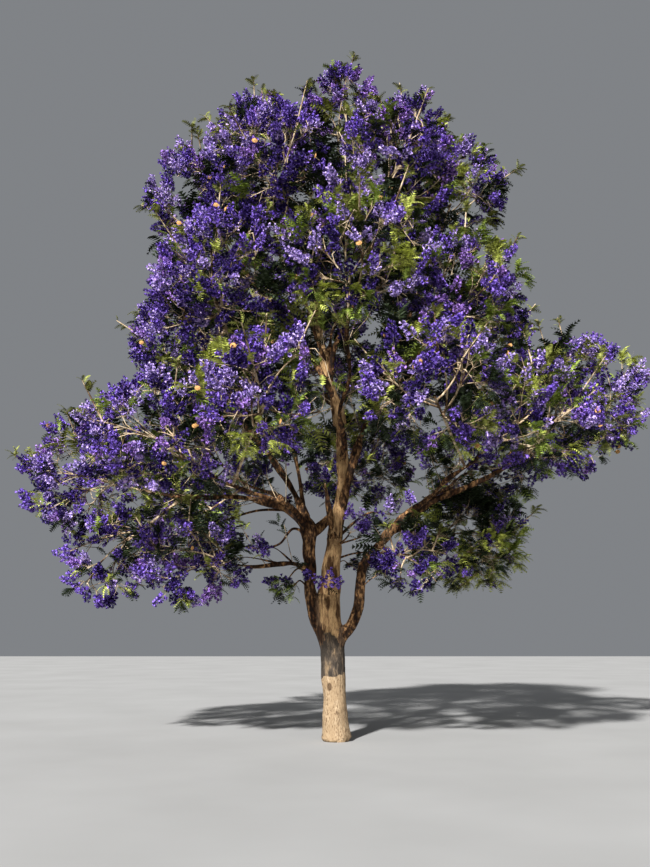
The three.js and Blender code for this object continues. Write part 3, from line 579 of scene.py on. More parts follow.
def tube(points, radii, sides):
    """A closed tube along one path: vertices and faces."""
    across, along = frames_along(points)
    a = np.arange(sides) * 2 * math.pi / sides
    ring = across[:, None] * np.cos(a)[:, None] + along[:, None] * np.sin(a)[:, None]
    vertices = (points[:, None] + ring * radii[:, None, None]).reshape(-1, 3)
    k = np.arange(sides)
    following = (k + 1) % sides
    faces = []
    for i in range(len(points) - 1):
        base = i * sides
        faces += np.stack([base + k, base + following, base + sides + following, base + sides + k],
                          axis=1).tolist()
    faces.append(list(range(sides))[::-1])
    faces.append([(len(points) - 1) * sides + j for j in range(sides)])
    return vertices, faces


def fork_mesh(parts):
    """The mesh of trunk and forks: the parts are joined, then every point is moved onto the bark."""
    vertices, faces = [], []
    count = 0
    for points, radii, _ in parts:
        points = points.copy()
        points[:, 2] = np.maximum(points[:, 2], 0)
        keep = np.concatenate([[True], np.linalg.norm(np.diff(points, axis=0), axis=1) > SAME_PLACE])
        some, around = tube(points[keep], radii[keep], FORK_SIDES)
        vertices.append(some)
        faces += [[count + corner for corner in face] for face in around]
        count += len(some)
    plain = bpy.data.meshes.new("plain")
    plain.from_pydata(np.concatenate(vertices).tolist(), [], faces)
    holder = bpy.data.objects.new("plain", plain)
    bpy.context.scene.collection.objects.link(holder)
    remesh = holder.modifiers.new("remesh", "REMESH")
    remesh.mode = "VOXEL"
    remesh.voxel_size = VOXEL
    made = bpy.data.meshes.new_from_object(holder.evaluated_get(bpy.context.evaluated_depsgraph_get()))
    bpy.data.objects.remove(holder)
    places = np.zeros(len(made.vertices) * 3)
    made.vertices.foreach_get("co", places)
    places = places.reshape(-1, 3)
    kinds = np.zeros(len(places), int)
    for _ in range(BARK_PASSES):
        for first in range(0, len(places), BARK_BATCH):
            some = places[first:first + BARK_BATCH]
            distance, out, kinds[first:first + BARK_BATCH] = bark_field(parts, some)
            some -= out * np.clip(distance, -BARK_MOVE, BARK_MOVE)[:, None]
    places[:, 2] = np.maximum(places[:, 2], 0)
    square_foot(parts, places)
    made.vertices.foreach_set("co", places.ravel())
    corners = np.zeros(len(made.polygons), np.int32)
    made.polygons.foreach_get("loop_start", corners)
    around = np.zeros(len(made.loops), np.int32)
    made.loops.foreach_get("vertex_index", around)
    made.polygons.foreach_set("material_index", kinds[around[corners]].astype(np.int32))
    made.polygons.foreach_set("use_smooth", np.ones(len(made.polygons), bool))
    made.update()
    return made


def square_foot(parts, places):
    """Moves the points of the foot's rounded rim out to the bark at the flat cut."""
    rim = places[:, 2] < RIM * VOXEL
    level = places[rim] * (1, 1, 0) + (0, 0, VOXEL)
    distance, out, _ = bark_field(parts, level)
    level[:, :2] -= np.where(distance > -RIM_REACH * VOXEL, distance, 0)[:, None] * out[:, :2]
    level[:, 2] = 0
    places[rim] = level


def bough_meshes(limbs):
    """Vertices and triangles of the boughs and of the leader's upper part, and their kinds of bark."""
    vertices, triangles, kinds = [], [], []
    count = 0
    leader = limbs["leader"]
    start = int(LEADER_SHARE * len(leader["points"])) - LEADER_OVERLAP
    shapes = [(leader["points"][start:], leader["radii"][start:])]
    shapes += [(limbs[name]["points"], collared(limbs[name])) for name in (*BOUGHS, *LOW_BOUGHS)]
    for number, (points, radii) in enumerate(shapes):
        some, around = tube(points, radii, BOUGH_SIDES)
        out = unit(some - np.repeat(points, BOUGH_SIDES, axis=0))
        girth = np.repeat(radii, BOUGH_SIDES)
        along = np.repeat(np.arange(len(points)) * LIMB_STEP, BOUGH_SIDES)
        axes = [np.repeat(axis, BOUGH_SIDES, axis=0) for axis in frames_along(points)]
        side, up = ((out * axis).sum(1) * girth for axis in axes)
        own = np.stack([side + BOUGHS_APART * number, up, along], axis=1)
        height = TUBE_RELIEF * np.abs(relief(own, np.maximum(girth, TUBE_LUMPY)))
        height = np.minimum(TUBE_RELIEF_MOST * girth, height) * np.sign(relief(own, girth))
        vertices.append(some + out * height[:, None])
        for face in around:
            fan = [[face[0], face[j], face[j + 1]] for j in range(1, len(face) - 1)]
            triangles += [[count + corner for corner in three] for three in fan]
            kinds += [ROUGH if number else SMOOTH] * len(fan)
        count += len(some)
    return np.concatenate(vertices), np.array(triangles), kinds


# Masses: the space that each keeps to

NAMES = list(MASSES)
CENTRES = np.array([facts[2] for facts in MASSES.values()], float)
REACHES = np.array([facts[3] for facts in MASSES.values()], float)
MEAN_REACHES = np.cbrt(REACHES.prod(1))


def room_along(index, directions):
    """How far a mass's space goes from its centre: to its reach, or to the plane it shares with another."""
    to_reach = 1 / np.linalg.norm(directions / REACHES[index], axis=1)
    apart = np.delete(CENTRES, index, 0) - CENTRES[index]
    others = np.delete(MEAN_REACHES, index)
    middle = ((apart ** 2).sum(1) + MEAN_REACHES[index] ** 2 - others ** 2) / 2
    share = directions @ apart.T
    room = middle - CELL_MARGIN * np.linalg.norm(apart, axis=1)
    to_planes = np.where(share > 0, room / np.where(share > 0, share, 1), np.inf)
    return np.minimum(to_reach, to_planes.min(1))


def directions_of(index, count, lowest):
    """Evenly spread directions, from straight up to lowest. The level one points away from the trunk."""
    outward = math.atan2(CENTRES[index][1], CENTRES[index][0])
    step = (1 - lowest) / (count - 1)
    k = np.arange(count)
    z = 1 - k * step
    flat = np.sqrt(1 - z * z)
    a = outward + GOLDEN_ANGLE * (k - math.floor(1 / step + 0.5))
    return np.stack([flat * np.cos(a), flat * np.sin(a), z], axis=1)


def grow_stem(name, limbs):
    """The stem of a mass: its points and radii, and the places where it enters and ends."""
    bough, at, centre, *_ = MASSES[name]
    start, onward, thick = place_on(limbs[bough], 1 if at is None else at)
    entry = entry_of(name, start)
    heart = mix(np.array(centre), entry, HEART / ENTRY)
    root = start - onward * ROOT_SUNK if at is None else start
    bend = mix(start, heart, 0.5) if at is None else entry
    radius = STEM_SHARE * thick
    radii = np.array([radius, mix(radius, TWIG_RADIUS, 0.5), TWIG_RADIUS])
    return np.array([root, bend, heart]), radii, entry, heart


def grow_twigs(index, entry, heart, random):
    """The main twigs of a mass: foot, end, direction, and whether each bears blossom."""
    inwards = unit(entry - CENTRES[index])
    directions = directions_of(index, TWIGS_PER_MASS, LOWEST)
    rooms = room_along(index, directions)
    twigs = []
    for k, direction in enumerate(directions):
        order = (k * TWIG_ORDER) % TWIGS_PER_MASS / (TWIGS_PER_MASS - 1)
        foot = mix(entry, heart, mix(*FEET, order))
        end = CENTRES[index] + direction * TWIG_END * rooms[k]
        blooms = next(random) < MASSES[NAMES[index]][4]
        if direction @ inwards < TURN_BACK:
            twigs.append((foot, end, direction, blooms))
    return twigs


def uniform(rng, pair, count):
    return rng.uniform(*pair, count)


def turns(rng, count):
    return rng.uniform(0, 2 * math.pi, count)


def across_of(directions, angles):
    """Unit vectors across directions, at angles round them."""
    steep = np.abs(directions[:, 2:]) > UPRIGHT
    side = unit(np.cross(directions, np.where(steep, (1.0, 0, 0), (0, 0, 1.0))))
    other = np.cross(directions, side)
    return side * np.cos(angles)[:, None] + other * np.sin(angles)[:, None]


def curved(foot, leave, end, count):
    """Points of arcs that leave each foot along leave and come to each end."""
    t = np.linspace(0, 1, count)[None, :, None]
    reach = np.linalg.norm(end - foot, axis=1, keepdims=True) * ARC_PULL
    middle = (foot + leave * reach)[:, None]
    return foot[:, None] * (1 - t) ** 2 + 2 * middle * t * (1 - t) + end[:, None] * t * t


def points_at(paths, which, t):
    """The point and the direction at t of the paths that which names."""
    last = paths.shape[1] - 1
    place = t * last
    i = np.minimum(place.astype(int), last - 1)
    a, b = paths[which, i], paths[which, i + 1]
    return mix(a, b, (place - i)[:, None]), unit(b - a)


def clear_of(limbs, places, margin):
    """Which places are clear of every limb's surface by a margin."""
    free = np.ones(len(places), bool)
    for carrier in limbs.values():
        points, radii = carrier["points"][::4], carrier["radii"][::4]
        low, high = points.min(0) - radii[0] - margin, points.max(0) + radii[0] + margin
        near = np.flatnonzero(((places > low) & (places < high)).all(1))
        if len(near):
            start, way = points[:-1], np.diff(points, axis=0)
            gap = places[near][:, None] - start
            t = np.clip((gap * way).sum(2) / (way ** 2).sum(1), 0, 1)
            distance = np.linalg.norm(gap - t[..., None] * way, axis=2) - radii[:-1]
            free[near] &= distance.min(1) > margin
    return free


def in_gaps(limbs, places):
    """Which places are in a gap of the crown's front."""
    inside = np.zeros(len(places), bool)
    for name, (axis, low, high, wide, rise) in GAPS.items():
        points = limbs[name]["points"]
        points = points[points[:, axis].argsort()]
        x, y, z = places.T
        seen = (x, y, z - rise * y)
        aside = np.abs(seen[2 - axis] - np.interp(seen[axis], points[:, axis], points[:, 2 - axis]))
        inside |= (y < FRONT) & (seen[axis] > low) & (seen[axis] < high) & (aside < wide)
    return inside


class Growth:
    """What one region of the crown is made of, gathered before it is meshed."""

    def __init__(self):
        self.tubes = []  # (paths, radii, sides)
        self.stalks = []  # (foot, tip)
        self.flowers = []  # (rachis point, base, direction, size, tint)
        self.leaves = []  # (base, direction, up, length, tint)


def add_panicles(growth, rng, base, tip, tint):
    """Flowers in a cone round each line from base to tip."""
    axis = tip - base
    length = np.linalg.norm(axis, axis=1)
    axis = axis / length[:, None]
    count = len(base)
    number = np.tile(np.arange(FLOWERS), count)
    owner = np.repeat(np.arange(count), FLOWERS)
    t = (number + rng.uniform(0, 1, len(number))) / FLOWERS
    turn = number * GOLDEN_ANGLE + np.repeat(turns(rng, count), FLOWERS)
    turn += rng.normal(0, FLOWER_TURN, len(turn))
    spread = PANICLE_SPREAD * length[owner] * (PANICLE_TOP - t) ** PANICLE_CURVE
    spread *= uniform(rng, FLOWER_OUT, len(t))
    size = uniform(rng, FLOWER_SIZE, len(t)) * mix(*FLOWER_SHARES, t)
    side = across_of(axis[owner], turn)
    node = base[owner] + axis[owner] * (t * PANICLE_FILLED * length[owner])[:, None]
    way = side + axis[owner] * uniform(rng, FLOWER_RISE, len(t))[:, None]
    way = unit(way + rng.normal(0, FLOWER_TILT, (len(t), 3)))
    stalk = np.maximum(spread - size * FLOWER_SUNK, LEAST_STALK)
    start = node + unit(side + axis[owner] * STALK_RISE) * stalk[:, None]
    growth.flowers.append((node, start, way, size, tint[owner]))


def add_leaves(growth, rng, base, way, tint, lengths=LEAF_LENGTH):
    """Leaves that start at base and go along way, arching down."""
    length = uniform(rng, lengths, len(base))
    way = unit(way)
    way[:, 2] = np.maximum(way[:, 2], LEAF_LOWEST)
    up = unit(np.array([0, 0, 1.0]) + rng.normal(0, LEAF_ROLL, (len(base), 3)) + way * LEAF_LEAN)
    growth.leaves.append((base, unit(way), up, length, tint))


def dealt(rng, shares, shade):
    """Numbers of tints, dealt out in shares that change from the sun to the shade, as painted sunlight and
    shade.
    """
    sun, dark = np.array(shares[0]) / sum(shares[0]), np.array(shares[1]) / sum(shares[1])
    steps = mix(sun, dark, shade[:, None]).cumsum(1)
    return (rng.uniform(0, 1, len(shade))[:, None] > steps[:, :-1]).sum(1)


# Shares of the tints of VIOLETS and of GREENS, in the sun and in the shade: the darker tints dealt towards
# the shade are painted shade, the paler ones dealt towards the sun painted sunlight
VIOLET_SHARES = ((4, 3.4, 1.6, 1.5), (2.6, 0.2, 6.5, 0.6))
GREEN_SHARES = ((5, 2, 1.4, 2.6), (0.3, 1.2, 1, 8))
LEAST_SHADE = 0.75  # of the leaves below the sprays of a fine twig, whose tints are dealt darker as painted shade


def all_fit(base, tip):
    return tip, np.ones(len(tip), bool)


def fit_tips(index, rng, base, tip):
    """Tips drawn back to the mass's space, and which of them still leave room for a spray."""
    away = tip - CENTRES[index]
    distance = np.linalg.norm(away, axis=1)
    allowed = uniform(rng, SPRAY_END, len(tip)) * room_along(index, away / distance[:, None])
    tip = CENTRES[index] + away * np.minimum(1, allowed / distance)[:, None]
    return tip, np.linalg.norm(tip - base, axis=1) > LEAST_SPRAY


def add_tubes(growth, paths, radii, sides):
    """Tubes along paths that all have as many points and run from one radius to the other."""
    steps = np.linspace(*radii, paths.shape[1])
    growth.tubes.append((paths, np.tile(steps, (len(paths), 1)), sides))


def grow_mass(index, limbs, growth):
    name = NAMES[index]
    random = seeded_random(SEED * (index + 1))
    rng = np.random.default_rng(SEED + index)
    stem, stem_radii, entry, heart = grow_stem(name, limbs)
    growth.tubes.append((curved(stem[:1], unit(stem[1:2] - stem[:1]), stem[2:], STEM_RINGS),
                         np.interp(np.linspace(0, 2, STEM_RINGS), range(3), stem_radii)[None], STEM_SIDES))
    twigs = grow_twigs(index, entry, heart, random)
    foot, end, way = (np.array([twig[k] for twig in twigs]) for k in range(3))
    onward = unit(end - foot)
    leave = unit(onward + across_of(onward, uniform(rng, MAIN_TURNS, len(foot))) * MAIN_ASIDE)
    mains = curved(foot, leave, end + (end - foot) * MAIN_ON, MAIN_RINGS)
    add_tubes(growth, mains, (TWIG_RADIUS, TWIG_END_RADIUS * MAIN_TIP), MAIN_SIDES)

    # Fine twigs, each from the main twig that goes its way
    bloom = MASSES[name][4]
    more = LEAFY_MORE if bloom < LEAFY else 1
    count = int(FINE_TWIGS * (MEAN_REACHES[index] / FINE_REACH) ** 2 * more)
    directions = directions_of(index, count, FINE_LOWEST)
    directions = unit(directions + rng.normal(0, FINE_UNEVEN, (count, 3)))
    directions = directions[directions @ unit(entry - CENTRES[index]) < FINE_ENTRY]
    rooms = room_along(index, directions)
    facing = directions @ unit((CENTRES[index] - CROWN_HEART) / CROWN_REACH)
    count = len(directions)
    ends = CENTRES[index] + directions * (uniform(rng, FINE_END, count) * rooms)[:, None]
    parent = (directions @ way.T).argmax(1)
    feet, along = points_at(mains, parent, uniform(rng, FINE_FEET, count))
    fine = curved(feet, unit(along + directions * FINE_PULL), ends, FINE_RINGS)
    add_tubes(growth, fine, FINE_RADII, FINE_SIDES)

    rise = directions[:, 2]
    chance = BLOOM_EVEN + BLOOM_BY_MASS * (bloom - 0.5) + BLOOM_BY_RISE * rise + BLOOM_BY_FACING * facing
    inner = uniform(rng, INNER, count) > facing
    blooms = (rng.uniform(0, 1, count) < chance) & ~inner
    fewest, most = LOW_SPRAYS if CENTRES[index][2] < LOW_HEIGHT and bloom > LEAFY else SPRAYS
    each = np.where(inner, SHADE_SPRAYS, rng.integers(fewest, most + 1, count))
    # How deep each fine twig is in the shade: it deals the twig's sprays darker tints, as painted shade
    shade = np.clip(SHADE_EVEN - SHADE_FALL * rise - SHADE_FALL * facing, 0, SHADE_MOST)
    add_sprays(growth, rng, fine, directions, each, blooms, np.where(inner, 1, shade), limbs,
               lambda base, tip: fit_tips(index, rng, base, tip))
    add_bud_shoots(growth, rng, index, mains, way)


def add_sprays(growth, rng, fine, outward, each, blooms, shade, limbs, fit=all_fit):
    """Sprays, several at the end of each fine twig: panicles, or rosettes of leaves. Where the shade is 1,
    there are only leaves, and larger ones."""
    inner = shade == 1
    owner = np.repeat(np.arange(len(fine)), each)
    total = len(owner)
    base, along = points_at(fine, owner, uniform(rng, SPRAY_FEET, total))
    turn = turns(rng, total)
    spread = SPRAY_SPREAD * np.sqrt(rng.uniform(0, 1, total))[:, None]
    onward = unit(outward[owner] + along * SPRAY_ONWARD)
    heading = unit(onward + across_of(outward[owner], turn) * spread + (0, 0, SPRAY_LIFT))
    knot = base + heading * uniform(rng, SPRAY_TWIG, total)[:, None]
    rising = unit(heading + (0, 0, SPRAY_RISE))
    tip, fits = fit(knot, knot + rising * uniform(rng, PANICLE_LENGTH, total)[:, None])
    fits &= clear_of(limbs, knot, KNOT_CLEAR) & clear_of(limbs, tip, TIP_CLEAR)
    fits &= ~(in_gaps(limbs, knot) | in_gaps(limbs, tip))
    owner, base, knot, tip, heading = owner[fits], base[fits], knot[fits], tip[fits], heading[fits]
    total = len(owner)
    add_tubes(growth, np.stack([base, knot], axis=1), SPRAY_RADII, FINE_SIDES)
    growth.stalks.append((knot, tip))
    leafy, flowery = MIXED_LEAVES * (MIXED_FROM - blooms.mean()), MIXED_PANICLES * blooms.mean()
    mixed = rng.uniform(0, 1, total) < np.where(blooms[owner], leafy, flowery)
    flowering = (blooms[owner] ^ mixed) & ~inner[owner]
    # Violet tints by the twig's shade: deep ones mostly as painted shade, pale ones as painted sunlight
    tints = dealt(rng, VIOLET_SHARES, shade)[owner]
    tints = np.where(rng.uniform(0, 1, total) < OWN_TINT, dealt(rng, VIOLET_SHARES, shade[owner]), tints)
    add_panicles(growth, rng, knot[flowering], tip[flowering], tints[flowering])

    # Rosettes of leaves where there is no blossom, and a few leaves below each group of panicles
    # Green tints by the twig's shade: near-black ones mostly as painted shade, sunny ones as painted sunlight
    greens = dealt(rng, GREEN_SHARES, shade)
    for shaded, rosette, lengths in ((False, ROSETTE, LEAF_LENGTH), (True, SHADE_ROSETTE, SHADE_LEAF_LENGTH)):
        which = np.repeat(np.flatnonzero(~flowering & (inner[owner] == shaded)), rosette)
        turn = turns(rng, len(which))
        at = mix(knot[which], tip[which], uniform(rng, ROSETTE_FEET, len(which))[:, None])
        way = heading[which] + across_of(heading[which], turn) * ROSETTE_SPREAD
        add_leaves(growth, rng, at, way, greens[owner[which]], lengths)
    which = np.repeat(np.flatnonzero(~inner), FINE_LEAVES)
    at, along = points_at(fine, which, uniform(rng, FINE_LEAF_FEET, len(which)))
    way = along * LEAF_ONWARD + across_of(along, turns(rng, len(which)))
    # Leaves below the sprays get tints dealt darker, as painted shade
    darker = dealt(rng, GREEN_SHARES, np.maximum(shade, LEAST_SHADE))
    add_leaves(growth, rng, at, way, darker[which])


def add_bud_shoots(growth, rng, index, mains, ways):
    """Straight pale shoots that stand out of the blossom, each with a tuft of young leaves."""
    highest = ways[:, 2].argsort()[-BUD_SHOOTS:]
    foot, _ = points_at(mains, highest, uniform(rng, BUD_FEET, BUD_SHOOTS))
    heading = unit(ways[highest] + (0, 0, BUD_LIFT) + rng.normal(0, BUD_UNEVEN, (BUD_SHOOTS, 3)))
    away = unit(foot + heading - CENTRES[index])
    end = CENTRES[index] + away * (room_along(index, away) * uniform(rng, BUD_END, BUD_SHOOTS))[:, None]
    end = np.clip(end, np.array(cad_box[0]) - BUD_ASIDE, np.array(cad_box[1]) + BUD_ASIDE)
    add_tubes(growth, np.stack([foot, mix(foot, end, 0.5), end], axis=1), BUD_RADII, BUD_SIDES)
    which = np.repeat(np.arange(BUD_SHOOTS), BUD_LEAVES)
    way = unit(end - foot)[which]
    at = mix(foot[which], end[which], uniform(rng, BUD_LEAVES_FROM, len(which))[:, None])
    way = way * LEAF_ONWARD + across_of(way, turns(rng, len(which)))
    add_leaves(growth, rng, at, way, np.full(len(which), BUD_TINT), BUD_LEAF_LENGTH)


def grow_low_boughs(limbs, growth):
    """The sprays at the ends of the low boughs."""
    rng = np.random.default_rng(LOW_SEED)
    # The low boughs' sprays are dealt tints for this shade, as painted shade
    shade = np.full(1, LOW_SHADE)
    for name, (_, _, _, sprays, bloom, *_) in LOW_BOUGHS.items():
        points = limbs[name]["points"]
        path = points[np.linspace(len(points) // 2, len(points) - 1, FINE_RINGS).astype(int)][None]
        outward = unit(path[:, -1] - path[:, 0])
        others = {key: limbs[key] for key in limbs if key != name}
        in_blossom = int(sprays * bloom + 0.5)
        for number, blooms in ((in_blossom, True), (sprays - in_blossom, False)):
            if number:
                add_sprays(growth, rng, path, outward, np.array([number]), np.array([blooms]), shade, others)


def grow_shoots(limbs, growths):
    """Short shoots along the outer part of each bough and of the leader, with panicles or leaves."""
    rng = np.random.default_rng(SEED)
    carriers = [(name, facts[2], SHOOT_START) for name, facts in BOUGHS.items()]
    for name, mass, first in [*carriers, ("leader", "top_middle", LEADER_SHOOT_START)]:
        points = limbs[name]["points"]
        count = int((1 - first) * (len(points) * LIMB_STEP) / SHOOT_GAP)
        t = first + (1 - first) * (np.arange(count) + rng.uniform(0, 1, count)) / max(count, 1)
        base, along = points_at(points[None], np.zeros(count, int), t)
        heading = unit(along * SHOOT_ONWARD + across_of(along, turns(rng, count)) + (0, 0, SHOOT_LIFT))
        end = base + heading * uniform(rng, SHOOT_LENGTH, count)[:, None]
        free = clear_of(limbs, end, SHOOT_CLEAR)
        base, end, heading = base[free], end[free], heading[free]
        count = len(base)
        fine = curved(base, heading, end + (0, 0, SHOOT_CURL), FINE_RINGS)
        add_tubes(growths[mass], fine, SHOOT_RADII, FINE_SIDES)
        blooms = rng.uniform(0, 1, count) < MASSES[mass][4] * SHOOT_BLOOM
        add_sprays(growths[mass], rng, fine, heading, np.full(count, SHOOT_SPRAYS), blooms,
                   np.full(count, SHOOT_SHADE), limbs)


# Meshes of many like shapes

SLOPING, LEANING = 0.8, 0.13  # over that sine a tube's rings start from an axis that leans by this
PLATE_TURN = 2.4  # radians between one flower or stalk and the next
LOBES, LOBE_SPREAD, LOBE_TURN = 5, 0.48, 0.54  # of a flower: how far out, and half their width in radians
LOBE_HEIGHTS = (0.8, 0.92)
LEAF_ARCH, LEAF_DROOP = 0.1, 0.2
RACHIS_HALF = 0.012  # half its width
PINNAE_FROM, PINNAE_STRETCH = 0.13, 0.8  # of the leaf's length
PINNA_LENGTH, PINNA_FORWARD, PINNA_SUNK = 0.33, 0.4, 0.28  # how long, and how far on and down its tip is
PINNA_WIDTH = 0.46  # half of it, of the gap to the next
PINNA_SHAPE = (0.18, 0.72, 0.8)  # of the outline: start and stretch of its sine, and its power
END_FROM, END_TO, END_HALF = 0.93, 1.09, 0.03  # of the last pinna, which goes on along the leaf
CAPSULE_SIDES, CAPSULE_OVAL, CAPSULE_THICK = 8, 0.42, 0.14

def tube_rows(paths, radii, sides):
    """Tapered tubes along many paths of as many points: vertices and triangles."""
    count, rings, _ = paths.shape
    tangents = unit(np.gradient(paths, axis=1))
    overall = unit(paths[:, -1] - paths[:, 0])
    steep = np.abs(overall[:, 2:]) > SLOPING
    reference = np.where(steep, (1.0, LEANING, 0), (0, LEANING, 1.0))[:, None]
    across = unit(np.cross(tangents, reference))
    along = np.cross(tangents, across)
    a = np.arange(sides) * 2 * math.pi / sides
    ring = across[:, :, None] * np.cos(a)[:, None] + along[:, :, None] * np.sin(a)[:, None]
    vertices = paths[:, :, None] + ring * np.asarray(radii)[:, :, None, None]
    k = np.arange(sides)
    following = (k + 1) % sides
    base = (np.arange(rings - 1) * sides)[:, None]
    first = np.stack([base + k, base + following, base + sides + following], axis=2)
    second = np.stack([base + k, base + sides + following, base + sides + k], axis=2)
    one = np.concatenate([first.reshape(-1, 3), second.reshape(-1, 3)])
    whole = one[None] + (np.arange(count) * rings * sides)[:, None, None]
    return vertices.reshape(-1, 3), whole.reshape(-1, 3)


def flower_shape():
    """A flower from its base at the origin along +Z, a unit long: five lobes that flare from a narrow tube.
    The first lobe starts at a point of its own, the last one, which a stalk draws out."""
    vertices, triangles = [(0, 0, 0)], []
    last = 2 * LOBES + 1
    for k in range(LOBES):
        a = 2 * math.pi * k / LOBES
        for turn, height in zip((-LOBE_TURN, LOBE_TURN), LOBE_HEIGHTS):
            vertices.append((LOBE_SPREAD * math.cos(a + turn), LOBE_SPREAD * math.sin(a + turn), height))
        triangles.append((0 if k else last, 2 * k + 1, 2 * k + 2))
    vertices.append((0, 0, 0))
    return np.array(vertices), np.array(triangles)


def leaf_shape():
    """A leaf a unit long along +X, arching down: a rachis with a row of tapering pinnae on each side."""
    step = PINNAE_STRETCH / (LEAF_PAIRS - 1)
    half = PINNA_WIDTH * step
    start, stretch, power = PINNA_SHAPE
    vertices, triangles = [], []

    def drooping(x):
        return LEAF_ARCH * math.sin(math.pi * x) - LEAF_DROOP * x * x

    def add(*corners):
        triangles.append([len(vertices) + k for k in range(3)])
        vertices.extend(corners)

    add((0, -RACHIS_HALF, 0), (0, RACHIS_HALF, 0), (1, 0, drooping(1)))
    for k in range(LEAF_PAIRS):
        x = PINNAE_FROM + step * k
        reach = PINNA_LENGTH * math.sin(math.pi * (start + stretch * x)) ** power
        for side in (-1, 1):
            tip = (x + PINNA_FORWARD * reach, side * reach, drooping(x) - PINNA_SUNK * reach)
            add((x - half, 0, drooping(x)), (x + half, 0, drooping(x)), tip)
    low = drooping(END_FROM)
    add((END_FROM, -END_HALF, low), (END_FROM, END_HALF, low), (END_TO, 0, drooping(END_TO)))
    return np.array(vertices), np.array(triangles)


def capsule_shape():
    """A seed capsule about the origin, a unit across: a flat round pod with a thick middle."""
    sides = CAPSULE_SIDES
    angles = [2 * math.pi * k / sides for k in range(sides)]
    vertices = [(0, 0, CAPSULE_THICK), (0, 0, -CAPSULE_THICK)]
    vertices += [(0.5 * math.cos(a), CAPSULE_OVAL * math.sin(a), 0) for a in angles]
    triangles = []
    for k in range(sides):
        here, following = 2 + k, 2 + (k + 1) % sides
        triangles += [(0, here, following), (1, following, here)]
    return np.array(vertices), np.array(triangles)


def placed(shape, origin, x_axis, y_axis, z_axis, size):
    """Copies of a shape, each in its own axes: vertices and triangles."""
    vertices, triangles = shape
    many = (vertices[None, :, :1] * x_axis[:, None] + vertices[None, :, 1:2] * y_axis[:, None]
            + vertices[None, :, 2:] * z_axis[:, None]) * size[:, None, None] + origin[:, None]
    whole = triangles[None] + (np.arange(len(origin)) * len(vertices))[:, None, None]
    return many.reshape(-1, 3), whole.reshape(-1, 3)


def joined(parts):
    """One list of vertices and one of triangles from several."""
    vertices, triangles, count = [], [], 0
    for some, faces in parts:
        vertices.append(some)
        triangles.append(faces + count)
        count += len(some)
    return np.concatenate(vertices), np.concatenate(triangles)


def add_mesh(name, materials, vertices, triangles, tints=None, smooth=False):
    mesh = bpy.data.meshes.new(name)
    mesh.vertices.add(len(vertices))
    mesh.vertices.foreach_set("co", np.asarray(vertices, np.float32).ravel())
    mesh.loops.add(3 * len(triangles))
    mesh.loops.foreach_set("vertex_index", np.asarray(triangles, np.int32).ravel())
    mesh.polygons.add(len(triangles))
    mesh.polygons.foreach_set("loop_start", np.arange(0, 3 * len(triangles), 3, dtype=np.int32))
    mesh.polygons.foreach_set("use_smooth", np.full(len(triangles), smooth))
    if tints is not None:
        mesh.polygons.foreach_set("material_index", np.asarray(tints, np.int32))
    mesh.update(calc_edges=True)
    return add_piece(name, mesh, materials)


def add_piece(name, mesh, materials):
    piece = bpy.data.objects.new(name, mesh)
    bpy.context.scene.collection.objects.link(piece)
    for material in materials:
        mesh.materials.append(material)
    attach(piece, "root")
    return piece


def stalk_rows(feet, tips):
    """A flat tapering stalk from each foot to each tip."""
    side = across_of(unit(tips - feet), np.arange(len(feet)) * PLATE_TURN) * STALK_WIDTH / 2
    vertices = np.stack([feet - side, feet + side, tips], axis=1).reshape(-1, 3)
    return vertices, np.arange(len(vertices)).reshape(-1, 3)


def blossom_mesh(flowers):
    node, start, way, size, tint = (np.concatenate([row[k] for row in flowers]) for k in range(5))
    side = across_of(way, np.arange(len(way)) * PLATE_TURN)
    other = np.cross(way, side)
    shape = flower_shape()
    vertices, triangles = placed(shape, start, side, other, way, size)
    vertices[len(shape[0]) - 1::len(shape[0])] = node
    return vertices, triangles, np.repeat(tint, len(shape[1]))


def leaf_mesh(leaves):
    base, way, up, length, tint = (np.concatenate([row[k] for row in leaves]) for k in range(5))
    side = unit(np.cross(up, way))
    shape = leaf_shape()
    vertices, triangles = placed(shape, base, way, side, np.cross(way, side), length)
    return vertices, triangles, np.repeat(tint, len(shape[1]))


def capsule_mesh(growths):
    """Flat seed capsules, hung from the ends of a seeded choice of sprays."""
    rng = np.random.default_rng(CAPSULE_SEED)
    tips = np.concatenate([tip for growth in growths for _, tip in growth.stalks])
    middle = tips[rng.choice(len(tips), CAPSULES, replace=False)] - (0, 0, CAPSULE_DROP)
    turn = turns(rng, CAPSULES)
    flat = np.stack([np.cos(turn), np.sin(turn), np.zeros(CAPSULES)], axis=1)
    down = np.tile((0, 0, -1.0), (CAPSULES, 1))
    size = uniform(rng, CAPSULE_SIZE, CAPSULES)
    return placed(capsule_shape(), middle, flat, down, np.cross(flat, down), size)


# Materials

WHITE = (1, 1, 1)
STREAKS, BLOTCHES = (30, 30, 6), (24, 24, 12)  # waves per metre across and along the limb
EVEN_STOPS, DARK_STOPS = (0.3, 0.44, 0.58), (0.4, 0.52, 0.62)  # noise at which bark is dark, middle and pale
